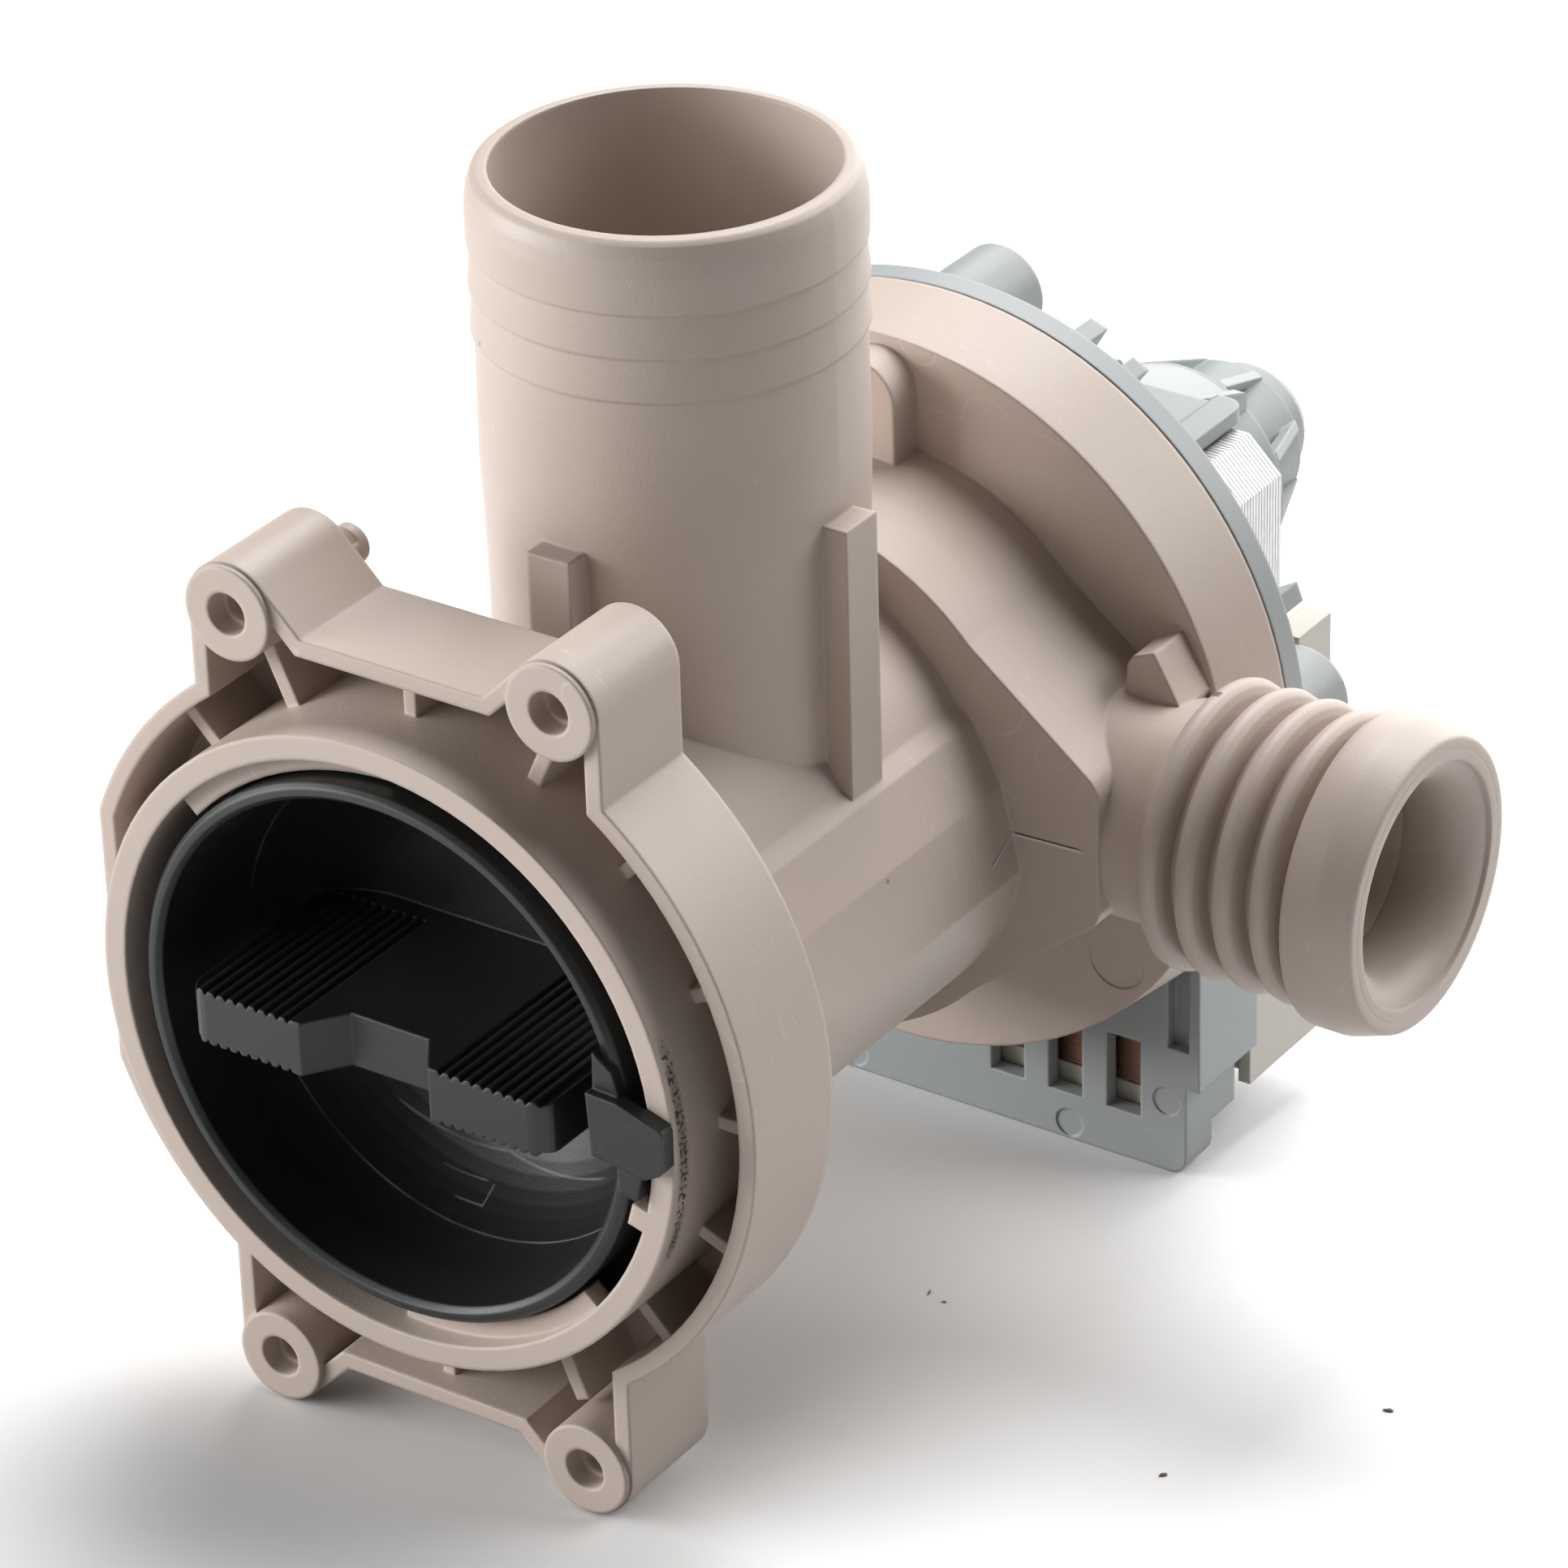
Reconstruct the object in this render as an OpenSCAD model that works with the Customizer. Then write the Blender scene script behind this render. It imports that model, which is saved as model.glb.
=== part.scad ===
// Washer drain pump with a screwed-in lint filter and a synchronous motor, in millimetres.
// Origin: centre of the four front fixing bosses, on the plane of their faces.
// +X runs along the outlet, +Y from the filter cap to the motor, +Z up the inlet pipe.

/* [Front bosses and skirt] */
// Spacing of the front bosses across
boss_dx = 42; // [40:0.5:46]
// Spacing of the front bosses in height
boss_dz = 94.4; // [92:0.2:98]
// Radius of a front boss face
boss_r = 5.5; // [4.8:0.1:6]
// Radius of the screw recess in a boss
boss_hole_r = 2.5; // [2:0.1:2.8]
// Radius of the pilot hole behind the recess
boss_pilot_r = 1.95; // [1.5:0.05:2]
// Outer radius of the round skirt
skirt_r = 44.6; // [43:0.1:45.5]
// Thickness of the skirt walls
skirt_wall = 2; // [1.6:0.1:2.4]
// How far the boss faces stand proud of the skirt
boss_proud = 0.8; // [0.5:0.1:2]
// Depth from the boss faces to the back of the skirt
skirt_depth = 15.5; // [13:0.5:18]

/* [Filter ring and sump] */
// Outer diameter of the filter ring
ring_d = 76; // [74:0.5:78]
// Wall of the filter ring
ring_wall = 2.85; // [2.4:0.05:3.2]
// How far the ring stands in front of the boss faces
ring_proud = 4.5; // [3:0.5:6]
// Height of the filter axis above the motor axis
filter_z = 1.2; // [0:0.1:2]
// Outer radius of the sump barrel
barrel_r = 32; // [31:0.1:33]
// Outer radius of the narrower top of the barrel
barrel_top_r = 26.6; // [26:0.1:27.6]
// Wall of the sump barrel
barrel_wall = 2.4; // [2:0.1:2.8]
// Rise of the quick thread for a quarter turn
quarter_lead = 3; // [2:0.25:4]

/* [Inlet pipe] */
// Distance of the inlet axis behind the boss faces
inlet_y = 53.4; // [50:0.1:56]
// Outer radius of the inlet pipe
inlet_r = 21.7; // [20:0.1:22]
// Bore radius of the inlet pipe
inlet_bore_r = 19.2; // [17:0.1:19.6]
// Height of the inlet rim above the motor axis
inlet_top = 83.9; // [76:0.1:95]
// Growth in radius at each step below the rim
inlet_step = 0.2; // [0.1:0.05:0.3]

/* [Volute and outlet] */
// Outer radius of the round part of the volute
volute_r = 33.4; // [33:0.1:34.5]
// Wall of the volute
volute_wall = 2.5; // [2:0.1:3]
// Distance of the volute front behind the boss faces
volute_y = 73.5; // [72:0.1:75]
// Reach of the volute towards the outlet
volute_reach = 41.8; // [40:0.1:44]
// Half height of the volute at the outlet
volute_tip = 9.4; // [8:0.1:11]
// Distance of the outlet axis behind the boss faces
outlet_y = 87.3; // [86:0.1:89]
// Distance from the motor axis to the outlet face
outlet_end = 76.2; // [74:0.1:90]
// Radius of the outlet neck
outlet_neck_r = 13.4; // [12.8:0.1:14]
// Bore radius of the outlet
outlet_bore_r = 11; // [9:0.1:11.4]
// Radius over the outlet ridges and collar
outlet_ridge_r = 17.2; // [16:0.1:18]
// Number of ridges behind the outlet collar
outlet_ridges = 4; // [2:1:4]

/* [Motor flange] */
// Radius of the gray motor flange
flange_r = 47.6; // [46.5:0.1:48.5]
// Distance of the housing flange front behind the boss faces
flange_y = 94; // [93:0.1:95]
// Depth of the housing flange rim
flange_depth = 11.7; // [11:0.1:13]
// Radius of the circle of motor screws
screw_circle = 40.2; // [39:0.1:40.6]
// Radius of a motor screw boss
screw_boss_r = 5; // [4.4:0.1:5.4]

/* [Rotor can and core] */
// Outer radius of the rotor can
can_r = 14.9; // [14.6:0.1:15.4]
// Wall of the rotor can
can_wall = 1.5; // [1.2:0.1:1.8]
// Distance of the can end behind the boss faces
can_end = 160; // [156:0.5:164]
// Outer radius of the rear bearing cup
cup_r = 10.3; // [10:0.1:11]
// Length of the rear bearing cup
cup_len = 13; // [11:0.5:14]
// Thickness of one core plate
plate_t = 0.55; // [0.45:0.05:0.6]
// Pitch of the core plates
plate_pitch = 0.65; // [0.65:0.05:0.7]
// Number of core plates
plate_count = 31; // [24:1:32]
// Half width of the core at the poles
core_half = 28.8; // [28:0.1:29.5]
// Height of the core top above the motor axis
core_top = 22.3; // [21:0.1:23]
// Depth of the core bottom below the motor axis
core_bottom = 63; // [60:0.1:63.5]
// Distance of the last core plate behind the boss faces
core_back = 135.5; // [134:0.1:137]
// Radius of the motor shaft
shaft_r = 2; // [1.6:0.1:2.2]
// Radial thickness of the windings
winding_t = 3.2; // [2:0.1:3.4]

/* [Coil box] */
// Half width of the coil box
box_half = 34.15; // [33.8:0.05:35]
// Half width of the coil box below its step
box_low_half = 32.3; // [32:0.05:32.6]
// Depth of the coil box bottom below the motor axis
box_bottom = 64.3; // [64:0.1:68]
// Distance of the coil box front behind the boss faces
box_y = 108.3; // [107.5:0.1:109]
// Wall of the coil box
box_wall = 1.2; // [1:0.1:1.4]
// Thickness of the coil box front
box_front = 2.2; // [1.6:0.1:2.4]
// Width of a vent slot
vent_w = 4.8; // [3.5:0.1:5.5]
// Height of a vent slot
vent_h = 10.5; // [6:0.5:12]

/* [Impeller] */
// Radius over the impeller blades
impeller_r = 20.5; // [16:0.1:24]
// Number of impeller blades
blades = 6; // [4:1:8]
// Angle of lost motion between magnet and impeller
lost_motion = 176; // [120:1:178]

/* [Hidden] */
$fn = 96;
run_gap = 0.05;
gap = 0.3;
ring_r = ring_d/2;
ring_bore = ring_r - ring_wall;
barrel_bore = barrel_r - barrel_wall;
boss_x = boss_dx/2;
boss_z = boss_dz/2;
seat_y = 10.5;
seat_end = 13.5;
bead_y = outlet_y;
chamber_y = volute_y + volute_wall;
chamber_r = volute_r - volute_wall;
throat_r = outlet_bore_r - 2.4;
throat_y = outlet_y - 0.6;
flat_x = skirt_r - 2.9;
round_end = 26;
flange_back = flange_y + flange_depth;
recess_r = flange_r - 3.4;
recess_y = flange_y + volute_wall;
motor_y = flange_back + gap;
plate_y = motor_y + 3.4;
spigot_y = recess_y + 0.5;
spigot_r = recess_r - 0.25;
seal_r = chamber_r + 3.4;
can_bore = can_r - can_wall;
cup_end = can_end + cup_len;
boss_end = plate_y + 10.2;
screw_angles = [90, 0, 180];
core_len = (plate_count - 1)*plate_pitch + plate_t;
core_front = core_back - core_len;
leg_in = 12;
leg_out = 25;
pole_low = -17;
yoke_h = 6;
frame_t = 0.9;
frame_top = -18.5;
frame_floor = -core_bottom + yoke_h + 0.2;
coil_front = core_front - 0.1 - frame_t - winding_t;
coil_back = core_back + 0.1 + frame_t + winding_t;
cap_r = ring_bore - 2.75;
handle_half = cap_r - 8.5;
tooth = (handle_half - 9.9)/10;
seal_floor = barrel_bore - 2.4;
cap_front = -ring_proud;
plug_r = barrel_bore - 0.5;
lug_r = ring_bore - 0.4;
lead_k = quarter_lead/90;
ramp_a = 88;
ramp_span = 50;
handle_front = -7.8;
box_back = box_y + 13.5;
box_step = -52;
vent_z = -57.9;

// A cylinder about an axis parallel to Y, from y0 to y1.
module y_cyl(r, y0, y1, x = 0, z = 0) {
    translate([x, y0, z]) rotate([-90, 0, 0]) cylinder(r = r, h = y1 - y0);
}

// A cone about an axis parallel to Y, from radius ra at y0 to rb at y1.
module y_cone(ra, rb, y0, y1, z = 0) {
    translate([0, y0, z]) rotate([-90, 0, 0]) cylinder(r1 = ra, r2 = rb, h = y1 - y0);
}

// A profile of radius against y, turned about the Y axis.
module y_turned(z = 0) {
    translate([0, 0, z]) rotate([-90, 0, 0]) rotate_extrude() children();
}

// A flat outline in X and Z, drawn out from y0 to y1.
module xz_slab(y0, y1) {
    translate([0, y1, 0]) rotate([90, 0, 0]) linear_extrude(y1 - y0) children();
}

// A box given by its lowest and highest corners.
module span(a, b) {
    translate(a) cube(b - a);
}

function arc_pts(cx, cy, r, a0, a1, n) = [for (i = [0:n]) let(a = a0 + (a1 - a0)*i/n)
    [cx + r*cos(a), cy + r*sin(a)]];

function round_rect(x0, y0, x1, y1, r) = concat(
    arc_pts(x1 - r, y1 - r, r, 0, 90, 5), arc_pts(x0 + r, y1 - r, r, 90, 180, 5),
    arc_pts(x0 + r, y0 + r, r, 180, 270, 5), arc_pts(x1 - r, y0 + r, r, 270, 360, 5));

// A block wound on a helix about the filter axis: it comes towards the front as the angle grows.
module helix_block(r0, r1, a0, a1, y0, t, n = 12) {
    pts = [for (i = [0:n]) let(a = a0 + (a1 - a0)*i/n, y = y0 - lead_k*(a - a0))
        each [[r0*cos(a), y, r0*sin(a)], [r1*cos(a), y, r1*sin(a)],
            [r1*cos(a), y + t, r1*sin(a)], [r0*cos(a), y + t, r0*sin(a)]]];
    sides = [for (i = [0:n - 1], j = [0:3]) let(p = 4*i + j, q = 4*i + (j + 1)%4)
        each [[p, p + 4, q], [q, p + 4, q + 4]]];
    ends = [[0, 1, 2], [0, 2, 3], [4*n, 4*n + 2, 4*n + 1], [4*n, 4*n + 3, 4*n + 2]];
    translate([0, 0, filter_z]) polyhedron(pts, concat(sides, ends));
}

// Outline of the barrel behind its round front: narrow at the top, with a ridge on each side.
module barrel_outline(inset) {
    low_r = barrel_r - 0.1 - inset;
    ridge = [[barrel_top_r - 5 - inset, 14.4], [barrel_top_r - 1.5 - inset, 11.6],
        [barrel_r - 3.1 - inset, 4.4], [barrel_r + 1.5 - inset, -14.9], [barrel_r + 2, -40]];
    translate([0, filter_z]) {
        circle(barrel_top_r - inset);
        intersection() {
            circle(low_r);
            polygon(concat(ridge, [for (i = [len(ridge) - 1:-1:0]) [-ridge[i][0], ridge[i][1]]]));
        }
    }
}

// Outline of the skirt: a round body with a lobe at each boss and flat webs between the lobes.
module skirt_outline(inset) {
    lobe = boss_r + 0.25 - inset;
    web = boss_z - 1.05 - inset;
    side = boss_x + lobe - 0.04;
    // a line at 45 degrees leads from the web to the lobe
    slope_x = boss_x - 0.7*lobe;
    slope_z = boss_z + 0.7*lobe;
    foot_x = slope_x - (slope_z - web);
    difference() {
        union() {
            translate([0, filter_z]) circle(skirt_r - inset);
            for (s = [-1, 1], t = [-1, 1]) translate([s*boss_x, t*boss_z]) circle(lobe);
            polygon([for (t = [1, -1], p = [[-side, boss_z], [-boss_x, boss_z], [-slope_x, slope_z],
                [-foot_x, web], [foot_x, web], [slope_x, slope_z], [boss_x, boss_z], [side, boss_z]])
                [t*p[0], t*p[1]]]);
        }
        // the left side is cut flat
        translate([-flat_x - 10 + inset, -40]) square([10, 80]);
    }
}

module radial_rib(a, r0, r1, t, y0, y1) {
    translate([0, 0, filter_z]) rotate([0, -a, 0]) span([r0, y0, -t/2], [r1, y1, t/2]);
}

module skirt() {
    difference() {
        xz_slab(boss_proud, skirt_depth) skirt_outline(0);
        xz_slab(-1, skirt_depth - skirt_wall) skirt_outline(skirt_wall);
    }
    for (s = [-1, 1], t = [-1, 1]) {
        y_cyl(boss_r, 0, skirt_depth, s*boss_x, t*boss_z);
        radial_rib(atan2(t*boss_z - filter_z, s*boss_x), ring_r - 0.5, norm([boss_x, boss_z]) - boss_r, 1.8,
            boss_proud + 3, skirt_depth - 1);
    }
    for (a = [0, 22.5, 45, 90, 135, 157.5, 180, 202.5, 225, 270, 315, 337.5])
        radial_rib(a, ring_r - 0.5, abs(a - 180) < 30 ? flat_x - 0.8 : a % 180 == 90
            ? boss_z - skirt_wall - 0.5 - sin(a)*filter_z : skirt_r - skirt_wall + 0.5, 1.6,
            boss_proud + 3, skirt_depth - 1);
    // locating peg behind one boss
    y_cyl(2.4, skirt_depth - 1, skirt_depth + 6.5, -boss_x, boss_z - 1.2);
}

module inlet_pipe() {
    steps = [for (i = [3:-1:1]) let(z = inlet_top - 3.1 - 5.1*i)
        each [[inlet_r - 0.25, z - 0.3], [inlet_r + inlet_step, z]]];
    translate([0, inlet_y, 0]) rotate_extrude() polygon(concat(
        [[0, 4], [inlet_r - 0.5, 4], [inlet_r - 0.5, 36], [inlet_r - 0.1, 50]], steps,
        [[inlet_r + 0.2, inlet_top - 4], [inlet_r - 0.1, inlet_top - 2], [inlet_r - 0.6, inlet_top - 0.6],
        [inlet_r - 1.2, inlet_top - 0.1], [inlet_bore_r - 1, inlet_top], [0, inlet_top]]));
    // key ribs on the front and on both sides of the pipe
    span([-2.8, inlet_y - inlet_r - 2.6, 22], [2.8, inlet_y - inlet_r + 2, 46.6]);
    for (s = [-1, 1]) span([min(s*(inlet_r - 3), s*(inlet_r + 2.6)), inlet_y - 3, 9],
        [max(s*(inlet_r - 3), s*(inlet_r + 2.6)), inlet_y + 3, 46.6]);
}

// Outline of the volute: a round chamber that runs out in straight walls towards the outlet.
module volute_outline(inset) {
    r = volute_r - inset;
    tip_x = volute_reach - inset;
    tip_z = volute_tip - inset/2;
    reach = norm([tip_x, tip_z]);
    lean = atan2(tip_z, tip_x) + acos((r - 0.4)/reach);
    foot = [(r - 0.4)*cos(lean), (r - 0.4)*sin(lean)];
    corner = arc_pts(tip_x - 4, tip_z - 2.6, 4, 50, 10, 4);
    circle(r);
    polygon(concat([[0, foot[1]], foot], corner, [for (i = [4:-1:0]) [corner[i][0], -corner[i][1]]],
        [[foot[0], -foot[1]], [0, -foot[1]]]));
}

// Outside of the outlet: neck, rounded ridges and a chamfered collar.
module outlet_outside() {
    pitch = 4.85;
    valley = outlet_ridge_r - 3.4;
    collar = outlet_end - 8.9;
    start = collar - outlet_ridges*pitch;
    ridge_pts = [for (k = [0:outlet_ridges - 1], a = [0:22.5:180])
        [valley + 3.4*pow(max(sin(a), 0), 0.65), start + k*pitch + 1.65*(1 - cos(a))]];
    translate([0, outlet_y, 0]) rotate([0, 90, 0]) rotate_extrude() polygon(concat(
        [[0, 20], [outlet_neck_r, 20], [outlet_neck_r, start - 1.5]], ridge_pts,
        [[valley, collar - 0.4], [outlet_ridge_r + 0.4, collar + 0.4], [outlet_ridge_r + 0.7, collar + 0.9],
        [outlet_ridge_r + 0.7, outlet_end - 5], [outlet_ridge_r - 0.9, outlet_end - 0.4],
        [outlet_ridge_r - 1.4, outlet_end], [0, outlet_end]]));
}

module housing_flange() {
    y_cone(flange_r - 1.2, flange_r, flange_y, flange_back);
    for (a = screw_angles) {
        cx = screw_circle*cos(a);
        cz = screw_circle*sin(a);
        y_cyl(screw_boss_r, a == 90 ? flange_y - 5 : flange_y - 0.6, flange_y + 1, cx, cz);
    }
    // the top boss runs down to the volute wall
    span([-screw_boss_r, flange_y - 5, volute_r - 3], [screw_boss_r, flange_y + 1, screw_circle]);
    // gusset between the outlet neck and the flange
    xz_slab(flange_y - 6.5, flange_y + 1) polygon([[33, 5], [33.4, 10], [36.7, 13.7], [37, 17],
        [37.7, 18.2], [40.4, 19.3], [44, 13], [43.4, 11.2], [43, 5]]);
}

module pump_housing() color([0.80, 0.74, 0.68]) {
    difference() {
        union() {
            y_cyl(ring_r, cap_front, skirt_depth, 0, filter_z);
            skirt();
            y_turned(filter_z) polygon([[0, skirt_depth - 1], [barrel_r, skirt_depth - 1],
                [barrel_r, round_end], [barrel_top_r - 1, round_end + 9], [0, round_end + 9]]);
            xz_slab(skirt_depth, volute_y + 1) barrel_outline(0);
            inlet_pipe();
            xz_slab(volute_y, flange_y + 1) volute_outline(0);
            outlet_outside();
            housing_flange();
        }
        // ring bore, seat and sump
        y_turned(filter_z) polygon([[0, cap_front - 1], [ring_bore, cap_front - 1], [ring_bore, seat_y],
            [barrel_bore, seat_end], [barrel_bore, round_end],
            [barrel_top_r - barrel_wall - 1, round_end + 9], [0, round_end + 9]]);
        xz_slab(round_end - 2, volute_y - 1) barrel_outline(barrel_wall);
        // eye, chamber and the recess for the motor spigot
        y_cyl(14, volute_y - 2, chamber_y + 1);
        y_cyl(chamber_r, chamber_y, recess_y + 1);
        y_cyl(recess_r, recess_y, flange_back + 1);
        // bores of the pipes
        translate([0, inlet_y, filter_z]) cylinder(r = inlet_bore_r, h = inlet_top);
        translate([10, throat_y, 0]) rotate([0, 90, 0]) cylinder(r = throat_r, h = flange_r);
        translate([flange_r - 1, outlet_y, 0]) rotate([0, 90, 0])
            cylinder(r = outlet_bore_r, h = outlet_end);
        translate([outlet_end - 9, outlet_y, 0]) rotate([0, 90, 0])
            cylinder(r1 = outlet_bore_r, r2 = outlet_ridge_r - 2.7, h = 9.01);
        // screw holes
        for (s = [-1, 1], t = [-1, 1]) {
            y_cyl(boss_hole_r, -1, 2.5, s*boss_x, t*boss_z);
            y_cyl(boss_pilot_r, 2, skirt_depth + 5, s*boss_x, t*boss_z);
        }
        for (a = screw_angles)
            y_cyl(1.7, recess_y + 0.7, flange_back + 1, screw_circle*cos(a), screw_circle*sin(a));
        // round mark of an ejector on the flange
        y_cyl(3.7, flange_y - 1, flange_y + 0.2, 31.4, -27);
    }
    // screw posts inside the flange rim
    for (a = screw_angles) difference() {
        y_cyl(3.7, recess_y - 0.5, flange_back, screw_circle*cos(a), screw_circle*sin(a));
        y_cyl(1.7, recess_y + 0.7, flange_back + 1, screw_circle*cos(a), screw_circle*sin(a));
    }
    // quick-thread ramps in the ring bore and the stop for the cap
    for (a = [ramp_a, ramp_a + 180])
        helix_block(cap_r + 0.5, ring_bore + 0.8, a, a + ramp_span, cap_front + 3, 2.6);
    translate([0, 0, filter_z]) rotate([0, 15.5, 0])
        span([ring_bore - 1.95, cap_front, -1.4], [ring_bore + 0.8, cap_front + 2.6, 1.4]);
}

// Section of the handle bar: grips with grooved faces at both ends of a plain middle.
function grip_edge(s) = [for (i = [0:9])
    each [[9.2 + tooth*i, s*3.3], [9.2 + tooth*(i + 0.46), s*3.3], [9.2 + tooth*(i + 0.68), s*2.75]]];

module handle_outline() {
    top = concat([[0, 3.3], [8.4, 3.3]], grip_edge(1), [[handle_half + 0.6, 3.3]]);
    n = len(top);
    right = concat(top, [for (i = [n - 1:-1:0]) [top[i][0], -top[i][1]]]);
    polygon(right);
    mirror([1, 0]) polygon(right);
}

module filter_cap() color([0.15, 0.16, 0.16]) {
    y_turned(filter_z) polygon([[0, 22.5], [plug_r, 22.5], [plug_r, 20.6], [seal_floor, 20.6],
        [seal_floor, 18.2], [plug_r, 18.2], [plug_r, 13.8], [cap_r, 9.6], [cap_r, cap_front + 0.6],
        [cap_r - 0.6, cap_front], [cap_r - 1.4, cap_front], [cap_r - 2, cap_front + 0.6],
        for (i = [0:14]) [16 + (cap_r - 18.4)*cos(90*i/14), 2 + 17.5*sin(90*i/14)], [0, 19.5]]);
    // handle bar with its set-back middle
    translate([0, 0, filter_z]) difference() {
        intersection() {
            xz_slab(handle_front - 1, 17.8) handle_outline();
            translate([0, 0, -5]) linear_extrude(10)
                polygon(round_rect(-handle_half, handle_front, handle_half, 26, 2.4));
        }
        translate([0, 0, -5]) linear_extrude(10)
            polygon([[-8.6, handle_front - 1], [-8.6, handle_front], [-5.2, handle_front + 4.75],
                [5.2, handle_front + 4.75], [8.6, handle_front], [8.6, handle_front - 1]]);
    }
    // foot of the bar in the floor of the bowl
    translate([0, 0, filter_z]) xz_slab(17, 20) square([2*(seal_floor - 5), 6.5], center = true);
    // thread lugs behind the ramps of the ring
    for (a = [ramp_a, ramp_a + 180]) helix_block(cap_r - 0.6, lug_r, a + 5, a + ramp_span - 5,
        cap_front + 3 + 2.6 + 0.35 - 5*lead_k, 2.5);
    // stop tab across the ring, with its lug in the gap
    translate([0, 0, filter_z]) {
        xz_slab(cap_front - 2.2, cap_front - 0.3)
            polygon([[cap_r - 4, 6.1], [cap_r, 5.9], [ring_r - 0.2, 4.2], [ring_r + 0.2, 3.7],
                [ring_r + 0.1, -0.7], [ring_r - 0.4, -1.3], [ring_r - 2.4, -2.4], [cap_r + 0.3, -1.9],
                [cap_r - 3.5, -1.5]]);
        xz_slab(cap_front - 1.1, cap_front + 1)
            polygon([[cap_r - 3.7, 10.6], [cap_r - 1.4, 8.8], [cap_r - 0.3, 5], [cap_r - 0.3, -1.7],
                [cap_r - 3.3, -1.3], [cap_r - 3.8, 6]]);
        xz_slab(cap_front - 1, cap_front + 3)
            polygon([[cap_r - 1.4, 4], [lug_r - 0.35, 3.4], [lug_r - 0.15, -2], [lug_r - 1.15, -6.4],
                [cap_r - 1, -6]]);
    }
}

module filter_basket() color([0.15, 0.16, 0.16]) {
    br = barrel_top_r - barrel_wall - 1.2;
    end = 68;
    difference() {
        union() {
            y_turned(filter_z) polygon([[0, 22.5], [br, 22.5], [br, end], [13, end], [13, end - 2],
                [br - 2, end - 2], [br - 2, 24.5], [0, 24.5]]);
            // comb of lint fingers behind the inlet
            for (x = [-12:6:12]) span([x - 0.9, 58, filter_z - sqrt(pow(br - 1, 2) - pow(x, 2))],
                [x + 0.9, 60.4, filter_z + 6]);
        }
        // the side below the inlet is open
        span([-40, 29, filter_z + 4], [40, end - 5, filter_z + 40]);
        for (a = [-165:22.5:-15]) translate([0, 0, filter_z]) rotate([0, -a, 0])
            span([br - 4, 30, -2.2], [br + 4, end - 13, 2.2]);
    }
}

module filter_seal() color([0.12, 0.12, 0.13])
    y_turned(filter_z) translate([(seal_floor + barrel_bore)/2, 19.4])
        circle(r = (barrel_bore - seal_floor)/2 - 0.1);

module volute_seal() color([0.12, 0.12, 0.13])
    y_turned() translate([seal_r, recess_y + 1.4]) circle(r = 1.25);

module screw_boss(a) {
    far = flange_r - screw_boss_r - 1.05;
    y_cyl(screw_boss_r + 0.8, motor_y + 1, boss_end, far*cos(a), far*sin(a));
}

// Sloping roof over the can in the gap between the poles, with a fin along each edge.
module can_roof() {
    intersection() {
        y_cone(can_r + 18, can_r - 0.2, plate_y - 1, can_end);
        span([-8.6, plate_y - 1, 8], [8.6, can_end, 40]);
    }
    for (s = [-1, 1]) translate([s*8.9 - 0.8, 0, 0]) rotate([90, 0, 90]) linear_extrude(1.6)
        polygon([[plate_y - 1, 8], [can_end - 0.2, 8], [can_end - 0.2, 13.3], [can_end - 0.8, 13.9],
            [plate_y - 1, 31]]);
}

// Thin cover over one side of the core's top, with a bar along its outer edge.
module core_cover() {
    low = core_top + 0.35;
    end = core_back + 3;
    intersection() {
        xz_slab(plate_y - 1, end + 1) polygon([[8.3, low], [23.5, low], [23.5, low + 1.9], [18.2, low + 1.9],
            [18.2, low + 0.75], [8.3, low + 0.75]]);
        linear_extrude(low + 10) polygon(concat([[4, plate_y - 2], [22.3, plate_y - 2]],
            arc_pts(19.8, end - 2.5, 2.5, 0, 90, 5), [[4, end]]));
    }
}

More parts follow.
